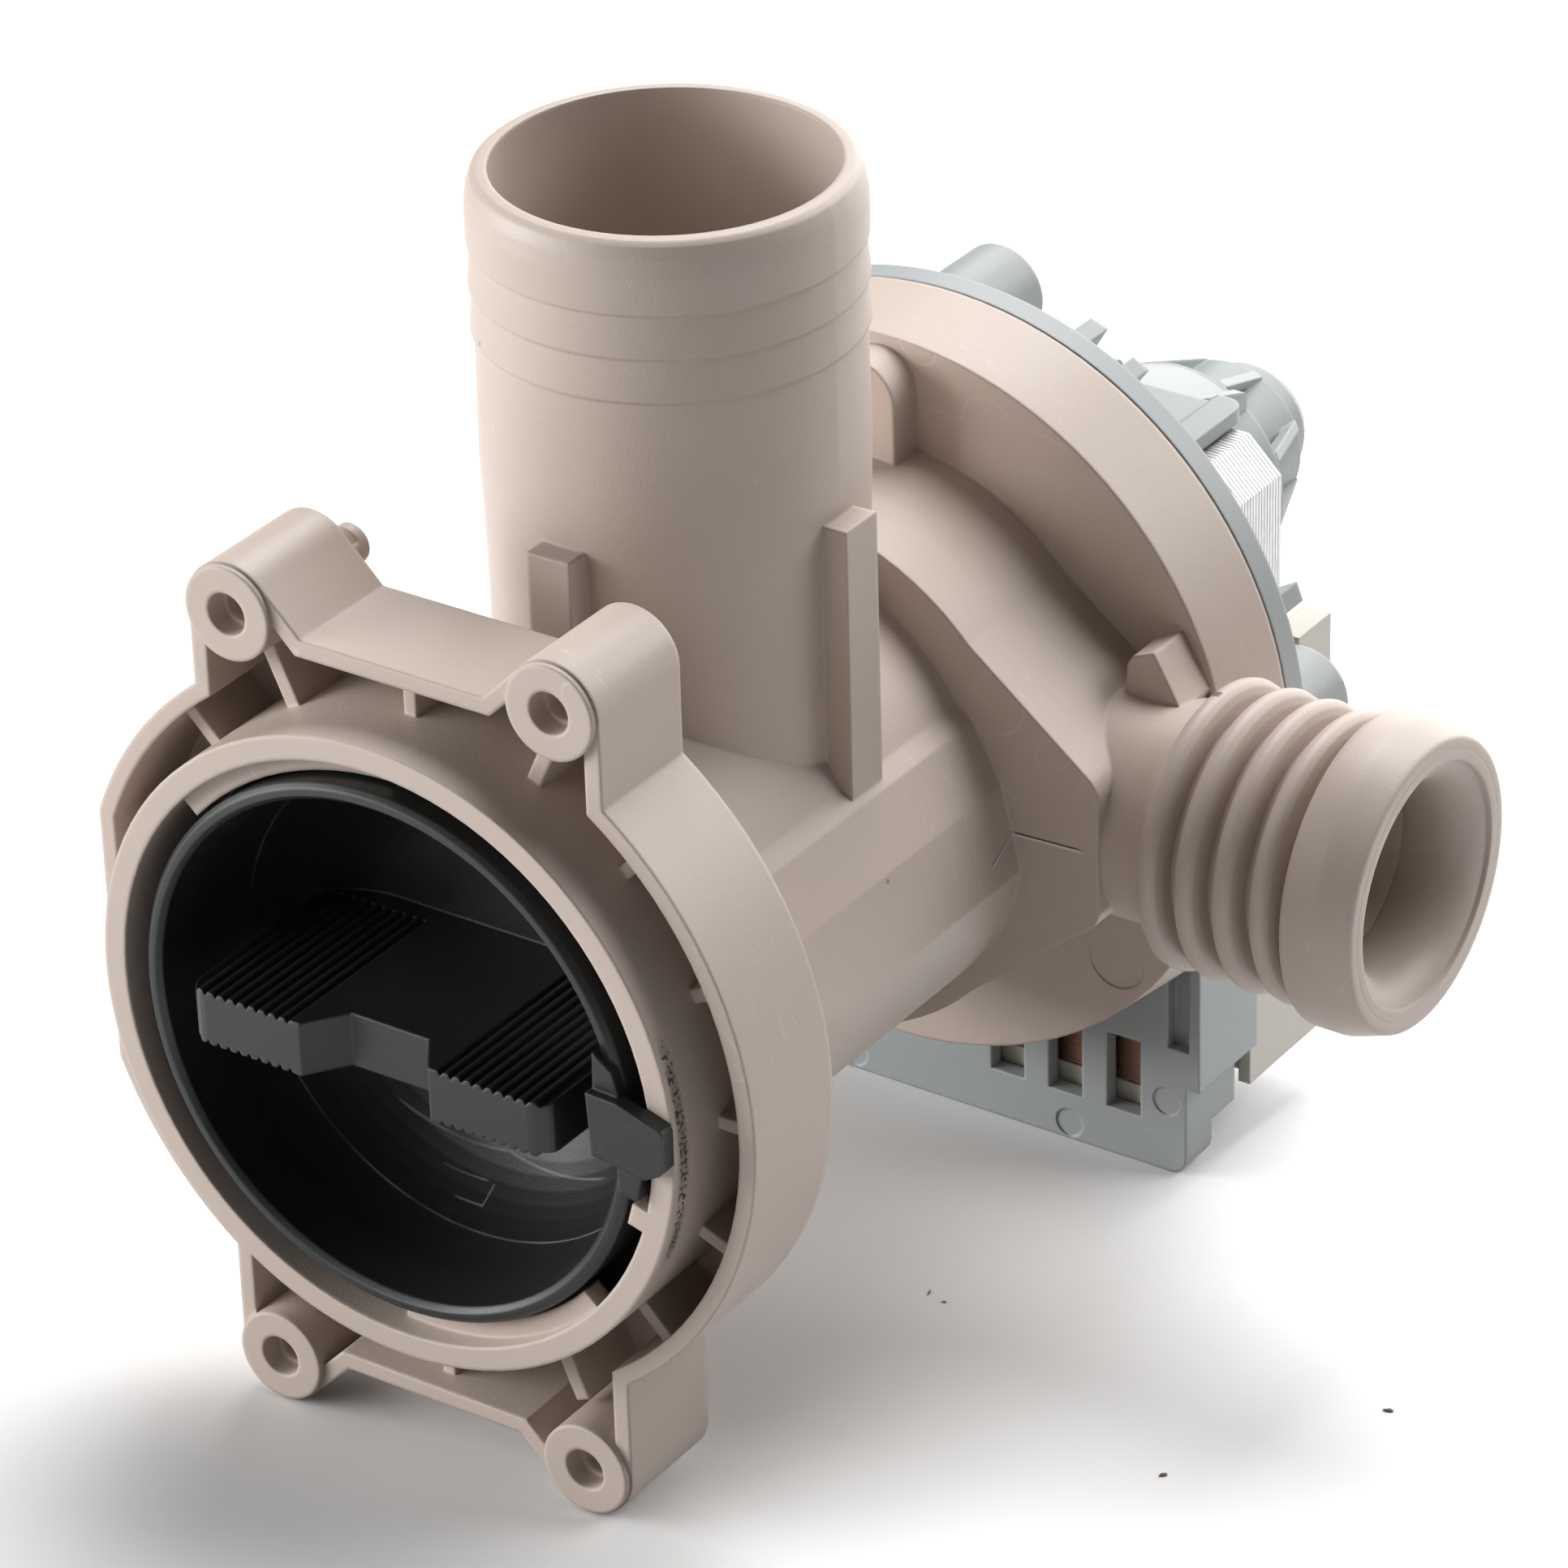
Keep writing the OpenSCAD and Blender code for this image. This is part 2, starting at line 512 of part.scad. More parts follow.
module motor_housing() color([0.65, 0.69, 0.71]) {
    difference() {
        union() {
            y_cyl(flange_r, motor_y, plate_y);
            y_cyl(spigot_r, spigot_y, motor_y + 1);
            y_cyl(can_r, motor_y, can_end);
            y_turned() polygon([[0, can_end - 4], [can_r - 1, can_end - 4], [can_r - 0.2, can_end],
                [can_r - 1, can_end + 0.8], [cup_r + 0.2, can_end + 1.4], [cup_r, cup_end - 1],
                [cup_r - 0.9, cup_end - 0.2], [8.2, cup_end], [8, cup_end + 3.8], [7.3, cup_end + 5.2],
                [6, cup_end + 5.7], [0, cup_end + 6]]);
            // ribs that slope from the can down along the bearing cup
            for (a = [22:45:337]) rotate([0, -a, 0]) rotate([0, 0, 90]) translate([0, 0, -0.7])
                linear_extrude(1.4) polygon([[can_end - 3, -can_r + 1], [can_end - 3, -can_r + 0.3],
                    [can_end + 0.8, -can_r + 0.3], [cup_end - 1, -cup_r - 0.2], [cup_end - 1, -cup_r + 1]]);
            can_roof();
            for (a = screw_angles) screw_boss(a);
            // catches along the upper rim
            for (c = [[68.5, 4.2], [60, 3], [20.5, 4.2], [111.5, 4.2], [120, 3], [159.5, 4.2]])
                rotate([0, -c[0], 0]) translate([0, 0, -1.2]) linear_extrude(2.4)
                    polygon([[flange_r - 3.4, plate_y - 1], [flange_r - 0.4, plate_y - 1],
                        [flange_r - 0.4, plate_y + c[1]], [flange_r - 3.4, plate_y + c[1] - 2.1]]);
            core_cover();
            mirror([1, 0, 0]) core_cover();
            coil_box_shell();
        }
        // pockets in the back of the plate beside the core, with ribs left between them
        for (a = [-30, -6, 18, 141, 165, 189]) rotate([0, -a, 0])
            sector(can_r + 3.2, seal_r + 0.6, 21, spigot_y + 5, plate_y + 1);
        // inside of the can and the cup
        y_cyl(can_bore, spigot_y - 1, can_end - 1.5);
        y_cyl(8.2, can_end - 2, cup_end - 1.6);
        // groove of the volute seal
        difference() {
            y_cyl(seal_r + 1.35, spigot_y - 1, recess_y + 2.7);
            y_cyl(seal_r - 1.35, spigot_y - 2, recess_y + 4);
        }
        for (a = screw_angles) {
            y_cyl(2.2, spigot_y - 1, boss_end + 1, screw_circle*cos(a), screw_circle*sin(a));
            y_cyl(4, spigot_y - 1, motor_y, screw_circle*cos(a), screw_circle*sin(a));
        }
        coil_box_cuts();
    }
    // tube that keeps the shaft side of the spigot open to the can
    difference() {
        y_cyl(can_r, spigot_y, motor_y + 1);
        y_cyl(can_bore, spigot_y - 1, motor_y + 2);
    }
}

// Outline of the coil box from the front: side walls that step in, rounded at the bottom corners.
module box_outline(inset) {
    lo = box_low_half - inset;
    bot = -box_bottom + inset;
    r = 2.2 - inset;
    polygon(concat([[box_half - inset, -30], [-box_half + inset, -30], [-box_half + inset, box_step + inset],
        [-lo, box_step + inset]], arc_pts(-lo + r, bot + r, r, 180, 270, 4),
        arc_pts(lo - r, bot + r, r, 270, 360, 4),
        [[lo, box_step + inset], [box_half - inset, box_step + inset]]));
}

// Shell of the coil box: a front plate with side walls, lower and shorter below the step.
module coil_box_shell() {
    xz_slab(box_y, box_y + box_front) box_outline(0);
    difference() {
        xz_slab(box_y, box_back) box_outline(0);
        translate([0, 1, 0]) xz_slab(box_y, box_back) box_outline(box_wall);
        span([-40, box_y + 6, -box_bottom - 1], [40, box_back + 1, -box_bottom + 5]);
        span([-40, box_y + 11.3, -box_bottom - 1], [40, box_back + 1, box_step - 0.01]);
        span([-box_half + box_wall, box_y, -31], [box_half - box_wall, box_back + 1, -29]);
    }
}

module coil_box_cuts() {
    for (x = [-23.5, -15.2, 6.9, 15.2, 23.5]) span([x - vent_w/2, box_y - 1, vent_z],
        [x + vent_w/2, box_y + box_front + 1, vent_z + vent_h]);
    for (s = [-1, 1]) {
        span([s*31.2 - 1.5, box_y - 1, -46.9], [s*31.2 + 1.5, box_y + box_front - 0.5, -32]);
        for (p = [[15.7, -62.1], [29.5, -54.6]]) y_cyl(1.9, box_y - 1, box_y + 0.2, s*p[0], p[1]);
    }
}

module motor_screws() color([0.75, 0.76, 0.78]) {
    head_y = boss_end;
    for (a = screw_angles) translate([screw_circle*cos(a), 0, screw_circle*sin(a)]) difference() {
        union() {
            y_cyl(1.65, recess_y + 1, head_y + 1);
            y_cyl(4.4, head_y + 0.05, head_y + 0.8);
            y_turned() polygon([[0, head_y + 0.8], [3.9, head_y + 0.8], [3.7, head_y + 2],
                [2.6, head_y + 2.9], [0, head_y + 3.1]]);
        }
        for (b = [0, 90]) rotate([0, b, 0]) span([-2.4, head_y + 1.6, -0.5], [2.4, head_y + 4, 0.5]);
    }
}

// Outline of one core plate: two poles round the can, two legs and the yoke below.
module plate_outline() {
    ch = 4.4;
    difference() {
        polygon([[-core_half + ch, core_top], [core_half - ch, core_top], [core_half, core_top - ch],
            [core_half, pole_low], [leg_out, pole_low], [leg_out, -core_bottom], [-leg_out, -core_bottom],
            [-leg_out, pole_low], [-core_half, pole_low], [-core_half, core_top - ch]]);
        circle(can_r + 0.4);
        translate([-10.4, 0]) square([20.8, 30]);
        translate([-leg_in, frame_floor - 0.2]) square([2*leg_in, pole_low + 12.2 - frame_floor]);
        for (p = rivet_places) translate(p) circle(1.6);
    }
}

rivet_places = [[20, 18], [-20, 18], [19, -core_bottom + 3.3], [-19, -core_bottom + 3.3]];

module core_plates() color([0.62, 0.62, 0.63])
    for (i = [0:plate_count - 1]) {
        y = core_back - plate_t - i*plate_pitch;
        xz_slab(y, y + plate_t) plate_outline();
    }

module core_rivets() color([0.7, 0.7, 0.71])
    for (p = rivet_places) {
        y_cyl(1.55, core_front - 0.6, core_back + 0.6, p[0], p[1]);
        y_cyl(2.5, core_front - 1.2, core_front - 0.05, p[0], p[1]);
        y_cyl(2.5, core_back + 0.05, core_back + 1.2, p[0], p[1]);
    }

// Moulded frame that carries both coils: two tubes on the legs between end plates, with side walls.
module coil_frame() color([0.90, 0.89, 0.82]) {
    out = leg_out + 0.1 + frame_t + winding_t;
    difference() {
        union() {
            span([-out, coil_front, frame_floor], [out, coil_back, frame_floor + 1.1]);
            span([-31.6, coil_front, frame_top - 1.1], [31.6, coil_back, frame_top]);
            // lip that hangs down in front of the yoke
            span([-out, coil_front, frame_floor - 2.2], [out, coil_front + 1.1, frame_floor + 1]);
            for (s = [-1, 1]) leg_box(s, 0.1 + frame_t, frame_floor, frame_top);
            for (s = [-1, 1]) frame_side(s);
        }
        for (s = [-1, 1]) leg_box(s, 0.1, -70, 0);
    }
}

module frame_side(s) {
    x0 = 31.4;
    x1 = 33;
    // side wall, with an ear at its top beside the poles
    translate([s > 0 ? x0 : -x1, 0, 0]) rotate([90, 0, 90]) linear_extrude(x1 - x0)
        polygon([[box_back + 0.3, -58.3], [141.5, -58.3], [141.5, -14.2], [140.4, -14.2], [140.4, -5.6],
            [137.5, -2.6], [132.8, -2.6], [132.8, -19], [box_back + 0.3, -19]]);
    span([min(s*29.3, s*x1), 132.8, -5.6], [max(s*29.3, s*x1), 140.4, -1.6]);
    span([min(s*30, s*32), box_back + 0.6, frame_floor], [max(s*30, s*32), coil_back, frame_floor + 1.1]);
    span([min(s*30, s*32), box_back + 0.6, frame_top - 1.1], [max(s*30, s*32), coil_back, frame_top]);
}

module leg_box(s, grow, z0, z1) {
    a = leg_in - grow;
    b = leg_out + grow;
    span([s > 0 ? a : -b, core_front - grow, z0], [s > 0 ? b : -a, core_back + grow, z1]);
}

module winding(s) {
    g = 0.1 + frame_t + run_gap;
    x0 = leg_in - g;
    x1 = leg_out + g;
    w = winding_t - 0.15;
    translate([0, 0, frame_floor + 1.2]) linear_extrude(frame_top - frame_floor - 2.4) difference() {
        polygon(round_rect(s > 0 ? x0 - w : -x1 - w, core_front - g - w, s > 0 ? x1 + w : -x0 + w,
            core_back + g + w, w));
        translate([s > 0 ? x0 : -x1, core_front - g]) square([x1 - x0, core_back - core_front + 2*g]);
    }
}

module winding_left() color([0.72, 0.40, 0.20]) winding(-1);

module winding_right() color([0.72, 0.40, 0.20]) winding(1);

// Gray cover over the back of the coils, cut round the can, with the terminal socket.
module rear_cover() color([0.65, 0.69, 0.71]) {
    y0 = coil_back + 0.3;
    difference() {
        union() {
            xz_slab(y0, y0 + 4) polygon(concat(arc_pts(23, -18, 8, 0, 80, 6),
                arc_pts(-23, -18, 8, 100, 180, 6), arc_pts(-25, -50, 6, 180, 270, 4),
                arc_pts(25, -50, 6, 270, 360, 4)));
            span([-11, y0 + 3, -46], [11, y0 + 17, -32]);
        }
        y_cyl(can_r + 0.5, y0 - 1, y0 + 6);
        xz_slab(y0 - 1, y0 + 2.4) polygon([[-29.4, -20], [29.4, -20], [29.4, -52], [-29.4, -52]]);
        span([-9.4, y0 + 5, -44.4], [9.4, y0 + 18, -33.6]);
        for (x = [-5, 5]) span([x - 3.25, y0 - 1, -39.45], [x + 3.25, y0 + 6, -38.55]);
        for (x = [-18:9:18]) if (abs(x) > 12) span([x - 1.8, y0 - 1, -48], [x + 1.8, y0 + 5, -28]);
    }
}

module terminal_blades() color([0.78, 0.78, 0.76]) {
    y0 = coil_back + 0.3;
    for (x = [-5, 5]) difference() {
        translate([x, 0, -39.4]) linear_extrude(0.8) polygon([[-3.15, y0 - 1.6], [3.15, y0 - 1.6],
            [3.15, y0 + 13.6], [2, y0 + 15], [-2, y0 + 15], [-3.15, y0 + 13.6]]);
        translate([x, y0 + 11, -41]) cylinder(r = 0.9, h = 4);
    }
}

magnet_y0 = 107;
magnet_y1 = 143;
dog_y0 = 145;
dog_y1 = 150.5;

module rotor_magnet() color([0.2, 0.2, 0.21])
    y_turned() polygon([[5, magnet_y0], [12.4, magnet_y0], [13, magnet_y0 + 0.6], [13, magnet_y1 - 0.6],
        [12.4, magnet_y1], [5, magnet_y1]]);

// A sector of a ring about the motor axis, from angle 0 to the given angle.
module sector(r0, r1, a, y0, y1) {
    difference() {
        xz_slab(y0, y1) polygon(concat([[0, 0]], arc_pts(0, 0, r1 + 3, 0, a, 6)));
        y_cyl(r0, y0 - 1, y1 + 1);
        difference() {
            y_cyl(r1 + 9, y0 - 1, y1 + 1);
            y_cyl(r1, y0 - 2, y1 + 2);
        }
    }
}

dog_angle = (360 - lost_motion - 4)/2;

module rotor_hub() color([0.85, 0.85, 0.82]) {
    y_turned() polygon([[shaft_r + run_gap, 106.4], [4.6, 106.4], [4.95, magnet_y0 + 0.4],
        [4.95, magnet_y1 + 0.05], [12.6, magnet_y1 + 0.05], [12.6, dog_y1 + 0.5], [10.4, dog_y1 + 0.5],
        [10.4, dog_y0 - 0.4], [shaft_r + run_gap, dog_y0 - 0.4]]);
    sector(5.6, 10.8, dog_angle, dog_y0 - 0.6, dog_y1);
}

module shaft() color([0.8, 0.81, 0.83])
    y_turned() polygon([[0, 80], [shaft_r - 0.4, 80], [shaft_r, 80.4], [shaft_r, 168.6],
        [shaft_r - 0.4, 169], [0, 169]]);

module shaft_driver() color([0.2, 0.22, 0.22]) {
    difference() {
        union() {
            y_cyl(5.2, dog_y0, dog_y1);
            rotate([0, -dog_angle - 2, 0]) sector(4.6, 10, dog_angle, dog_y0, dog_y1);
        }
        y_cyl(shaft_r + 0.02, dog_y0 - 1, dog_y1 + 1);
    }
}

module impeller() color([0.16, 0.17, 0.17]) {
    difference() {
        union() {
            y_turned() polygon([[0, 78.6], [3.4, 78.6], [5.2, 80.2], [6, 93], [impeller_r - 3, 93.2],
                [impeller_r + 0.2, 93.8], [impeller_r + 0.2, 95.4], [0, 95.4]]);
            for (i = [0:blades - 1]) rotate([0, 360/blades*i, 0]) blade();
        }
        y_cyl(shaft_r + 0.02, 80 - 0.05, 97);
    }
}

module blade() {
    // a straight blade that thins towards its tip and is cut back at the eye
    intersection() {
        rotate([90, 0, 0]) translate([0, 0, -94]) linear_extrude(14)
            polygon([[0, -1.3], [impeller_r, -0.8], [impeller_r, 0.8], [0, 1.3]]);
        y_turned() polygon([[0, 82], [12, 82], [impeller_r, 85], [impeller_r, 94], [0, 94]]);
    }
}

module front_bearing() color([0.72, 0.6, 0.42])
    y_turned() polygon([[shaft_r + run_gap, 100], [5.1, 100], [5.5, 100.4], [5.5, 104.6], [5.1, 105],
        [shaft_r + run_gap, 105]]);

module bearing_holder() color([0.16, 0.17, 0.17])
    y_turned() polygon([[5.55, 97.6], [10, 97.6], [10, 99], [can_bore - 0.1, 99], [can_bore - 0.1, 104],
        [can_bore - 1.1, 105.6], [4.4, 105.6], [4.4, 105.1], [5.55, 105.1]]);

module shaft_seal() color([0.12, 0.12, 0.13])
    y_turned() polygon([[shaft_r + 0.06, 97.8], [shaft_r + 0.5, 97.6], [5.5, 97.6], [5.5, 99.9], [3.4, 99.9],
        [3, 98.8], [shaft_r + 0.06, 98.2]]);

module rear_bearing() color([0.72, 0.6, 0.42])
    y_turned() polygon([[shaft_r + run_gap, 160.8], [4.8, 160.8], [5.2, 161.2], [5.2, 166.4], [4.8, 166.8],
        [shaft_r + run_gap, 166.8]]);

module bearing_rubber() color([0.12, 0.12, 0.13])
    y_turned() polygon([[5.25, 159.2], [7.6, 159.2], [8.1, 159.8], [8.1, 168.6], [4, 168.6], [4, 166.9],
        [5.25, 166.9]]);

module washer_at(y) {
    y_turned() polygon([[shaft_r + 0.15, y], [4.2, y], [4.2, y + 0.5], [shaft_r + 0.15, y + 0.5]]);
}

module front_washer() color([0.9, 0.88, 0.8]) washer_at(105.7);

module rear_washer() color([0.9, 0.88, 0.8]) washer_at(160.1);

module rear_clip() color([0.5, 0.5, 0.52])
    y_turned() polygon([[shaft_r + 0.01, 159], [3.8, 159], [3.8, 159.8], [shaft_r + 0.01, 159.8]]);

pump_housing();
filter_cap();
filter_basket();
filter_seal();
volute_seal();
motor_housing();
motor_screws();
core_plates();
core_rivets();
coil_frame();
winding_left();
winding_right();
rear_cover();
terminal_blades();
rotor_magnet();
rotor_hub();
shaft();
shaft_driver();
impeller();
front_bearing();
bearing_holder();
shaft_seal();
rear_bearing();
bearing_rubber();
front_washer();
rear_washer();
rear_clip();
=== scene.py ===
import math

import bpy
import numpy as np
from mathutils import Matrix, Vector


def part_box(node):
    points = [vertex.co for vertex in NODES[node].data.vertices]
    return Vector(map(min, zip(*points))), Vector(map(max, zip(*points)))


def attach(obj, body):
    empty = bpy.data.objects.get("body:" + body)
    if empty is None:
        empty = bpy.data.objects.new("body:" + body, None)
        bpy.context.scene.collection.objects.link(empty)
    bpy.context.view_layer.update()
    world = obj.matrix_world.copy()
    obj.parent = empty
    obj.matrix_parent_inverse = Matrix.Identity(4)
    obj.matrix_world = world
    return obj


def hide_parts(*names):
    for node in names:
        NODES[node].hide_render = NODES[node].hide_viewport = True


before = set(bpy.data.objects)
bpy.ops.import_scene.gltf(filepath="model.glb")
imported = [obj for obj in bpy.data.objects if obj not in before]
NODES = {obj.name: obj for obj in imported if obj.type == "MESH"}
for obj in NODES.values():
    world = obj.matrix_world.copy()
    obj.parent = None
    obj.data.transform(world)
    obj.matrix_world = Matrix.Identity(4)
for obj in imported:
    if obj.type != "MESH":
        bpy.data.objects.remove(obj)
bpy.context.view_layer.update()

# pump housing
# One injection moulding in tan polypropylene: filter ring, sump barrel, inlet pipe, volute,
# outlet and motor flange. The tool was fine-eroded, so every face has a soft satin grain, and
# the arrises are slightly round. Handling has left faint scuffs and a few dark specks.
TAN = (0.545, 0.455, 0.398)
TAN_PALE = (0.70, 0.62, 0.56)
TAN_DARK = (0.32, 0.25, 0.20)


def new_group(name, inputs, outputs):
    """An empty shader group with float or vector sockets, and its two end nodes."""
    group = bpy.data.node_groups.new(name, "ShaderNodeTree")
    for label, kind, value in inputs:
        socket = group.interface.new_socket(name=label, in_out="INPUT", socket_type=kind)
        socket.default_value = value
    for label, kind in outputs:
        group.interface.new_socket(name=label, in_out="OUTPUT", socket_type=kind)
    return group, group.nodes.new("NodeGroupInput"), group.nodes.new("NodeGroupOutput")


def put(tree, kind, **settings):
    """A node with its properties set, and its unlinked inputs given by position or name."""
    node = tree.nodes.new(kind)
    for key, value in settings.pop("inputs", {}).items():
        node.inputs[key].default_value = value
    for key, value in settings.items():
        setattr(node, key, value)
    return node


def ramp(tree, low, high, at_low, at_high):
    """A map range node: its input between two levels gives values between two others, and holds
    at the ends."""
    return put(tree, "ShaderNodeMapRange", inputs={1: low, 2: high, 3: at_low, 4: at_high})


def join(tree, a, b):
    """Links an output to an input, each given as (node, socket)."""
    tree.links.new(a[0].outputs[a[1]], b[0].inputs[b[1]])


FLOAT, VECTOR = "NodeSocketFloat", "NodeSocketVector"


def rounded_edges_group():
    """Edges: the normal averaged over a small radius, so arrises catch light as moulded ones do.
    The mask is one minus the dot product of that normal and the flat one, scaled up: it is 1 on
    an arris and 0 on a plain face."""
    g, ins, outs = new_group("rounded_edges", [("Radius", FLOAT, 0.0004)],
                             [("Normal", VECTOR), ("Edge", FLOAT)])
    bevel = put(g, "ShaderNodeBevel", samples=6)
    flat = put(g, "ShaderNodeNewGeometry")
    dot = put(g, "ShaderNodeVectorMath", operation="DOT_PRODUCT")
    mask = ramp(g, 0.995, 0.80, 0.0, 1.0)
    join(g, (ins, "Radius"), (bevel, "Radius"))
    join(g, (bevel, 0), (dot, 0))
    join(g, (flat, "Normal"), (dot, 1))
    join(g, (dot, "Value"), (mask, 0))
    join(g, (bevel, 0), (outs, "Normal"))
    join(g, (mask, 0), (outs, "Edge"))
    return g


def moulded_grain_group():
    """Grain: fine noise at the given scale for the eroded tool face, with a slower swell under
    it. The tone is a broad noise between 0 and 1 for the uneven colour of moulded plastic."""
    g, ins, outs = new_group("moulded_grain", [("Scale", FLOAT, 2600.0), ("Swell", FLOAT, 0.25)],
                             [("Height", FLOAT), ("Tone", FLOAT)])
    place = put(g, "ShaderNodeTexCoord")
    fine = put(g, "ShaderNodeTexNoise", inputs={"Detail": 2.0, "Roughness": 0.6})
    slow = put(g, "ShaderNodeTexNoise", inputs={"Scale": 130.0, "Detail": 2.0})
    tone = put(g, "ShaderNodeTexNoise", inputs={"Scale": 24.0, "Detail": 4.0, "Roughness": 0.55})
    blend = put(g, "ShaderNodeMix", data_type="FLOAT")
    spread = ramp(g, 0.3, 0.7, 0.0, 1.0)
    for node in (fine, slow, tone):
        join(g, (place, "Object"), (node, "Vector"))
    join(g, (ins, "Scale"), (fine, "Scale"))
    join(g, (ins, "Swell"), (blend, "Factor"))
    join(g, (fine, "Fac"), (blend, "A"))
    join(g, (slow, "Fac"), (blend, "B"))
    join(g, (tone, "Fac"), (spread, 0))
    join(g, (blend, "Result"), (outs, "Height"))
    join(g, (spread, 0), (outs, "Tone"))
    return g


def handling_marks_group():
    """Marks: hair scratches are noise squeezed along one way and cut to its thin ridges, masked
    to a few places. Specks are the centres of sparse random cells."""
    g, ins, outs = new_group("handling_marks", [("Scratches", FLOAT, 0.5), ("Specks", FLOAT, 0.5)],
                             [("Scratch", FLOAT), ("Speck", FLOAT)])
    place = put(g, "ShaderNodeTexCoord")
    turn = put(g, "ShaderNodeMapping", inputs={"Rotation": (0.5, 0.35, 0.8), "Scale": (1, 14, 1)})
    lines = put(g, "ShaderNodeTexNoise", inputs={"Scale": 70.0, "Detail": 1.0, "Distortion": 0.4})
    ridge = ramp(g, 0.492, 0.5, 0.0, 1.0)
    fall = ramp(g, 0.5, 0.508, 1.0, 0.0)
    where = put(g, "ShaderNodeTexNoise", inputs={"Scale": 48.0, "Detail": 1.0})
    place_mask = ramp(g, 0.57, 0.68, 0.0, 1.0)
    both = put(g, "ShaderNodeMath", operation="MULTIPLY")
    kept = put(g, "ShaderNodeMath", operation="MULTIPLY")
    scratch = put(g, "ShaderNodeMath", operation="MULTIPLY")
    cells = put(g, "ShaderNodeTexVoronoi", inputs={"Scale": 95.0, "Randomness": 1.0})
    dot = ramp(g, 0.035, 0.02, 0.0, 1.0)
    rare = put(g, "ShaderNodeMath", operation="GREATER_THAN", inputs={1: 0.72})
    split = put(g, "ShaderNodeSeparateColor")
    few = put(g, "ShaderNodeMath", operation="MULTIPLY")
    speck = put(g, "ShaderNodeMath", operation="MULTIPLY")
    join(g, (place, "Object"), (turn, "Vector"))
    join(g, (turn, 0), (lines, "Vector"))
    join(g, (place, "Object"), (where, "Vector"))
    join(g, (place, "Object"), (cells, "Vector"))
    join(g, (lines, "Fac"), (ridge, 0))
    join(g, (lines, "Fac"), (fall, 0))
    join(g, (ridge, 0), (both, 0))
    join(g, (fall, 0), (both, 1))
    join(g, (where, "Fac"), (place_mask, 0))
    join(g, (both, 0), (kept, 0))
    join(g, (place_mask, 0), (kept, 1))
    join(g, (kept, 0), (scratch, 0))
    join(g, (ins, "Scratches"), (scratch, 1))
    join(g, (scratch, 0), (outs, "Scratch"))
    join(g, (cells, "Distance"), (dot, 0))
    join(g, (cells, "Color"), (split, 0))
    join(g, (split, 0), (rare, 0))
    join(g, (dot, 0), (few, 0))
    join(g, (rare, 0), (few, 1))
    join(g, (few, 0), (speck, 0))
    join(g, (ins, "Specks"), (speck, 1))
    join(g, (speck, 0), (outs, "Speck"))
    return g


EDGES = rounded_edges_group()
GRAIN = moulded_grain_group()
MARKS = handling_marks_group()


def group_node(tree, group, **values):
    """A node that holds a shader group, with its inputs set by name."""
    node = tree.nodes.new("ShaderNodeGroup")
    node.node_tree = group
    for key, value in values.items():
        node.inputs[key].default_value = value
    return node


# The colour sockets of a mix node, which has others of the same names
MIX_A, MIX_B, MIX_RESULT = 6, 7, 2


def colour_mix(tree, factor, low, high):
    """Mixes two colours by a socket. Each colour is a tuple or a (node, socket)."""
    mix = put(tree, "ShaderNodeMix", data_type="RGBA")
    join(tree, factor, (mix, "Factor"))
    for value, slot in ((low, MIX_A), (high, MIX_B)):
        if isinstance(value[0], float):
            mix.inputs[slot].default_value = (*value, 1.0)
        else:
            join(tree, value, (mix, slot))
    return mix, MIX_RESULT


def scaled(tree, source, amount):
    """A socket's value times a fixed amount."""
    node = put(tree, "ShaderNodeMath", operation="MULTIPLY", inputs={1: amount})
    join(tree, source, (node, 0))
    return node, 0


def moulded_plastic(name, base, pale, dark, rough, radius, grain, bump, tone=0.3, edge_wear_and_highlight=0.35,
                    scratches=0.5, specks=0.6):
    """Moulded plastic: the base colour drifts a little, pales on arrises (partly wear, partly a
    painted highlight) and on scratches, and has dark specks. Returns the material with its tree
    and shader, for more layers."""
    m = bpy.data.materials.new(name)
    m.use_nodes = True
    t = m.node_tree
    shader = t.nodes["Principled BSDF"]
    edges = group_node(t, EDGES, Radius=radius)
    skin = group_node(t, GRAIN, Scale=grain)
    marks = group_node(t, MARKS, Scratches=scratches, Specks=specks)
    drift = scaled(t, (skin, "Tone"), tone)
    colour = colour_mix(t, drift, base, dark)
    # Arrises pale towards the pale colour: partly wear, partly a painted highlight along edges and
    # steps.
    colour = colour_mix(t, scaled(t, (edges, "Edge"), edge_wear_and_highlight), colour, pale)
    colour = colour_mix(t, (marks, "Scratch"), colour, pale)
    colour = colour_mix(t, (marks, "Speck"), colour, tuple(0.25 * c for c in dark))
    join(t, colour, (shader, "Base Color"))
    gloss = ramp(t, 0.0, 1.0, rough - 0.05, rough + 0.07)
    join(t, (skin, "Tone"), (gloss, 0))
    join(t, (gloss, 0), (shader, "Roughness"))
    relief = put(t, "ShaderNodeBump", inputs={"Strength": bump, "Distance": 0.00012})
    join(t, (skin, "Height"), (relief, "Height"))
    join(t, (edges, "Normal"), (relief, "Normal"))
    join(t, (relief, 0), (shader, "Normal"))
    shader.inputs["Specular IOR Level"].default_value = 0.5
    return m, t, shader


def dress(node, material):
    """Gives a CAD node its material and the name of its material slot."""
    mesh = NODES[node].data
    mesh.materials.clear()
    mesh.materials.append(material)


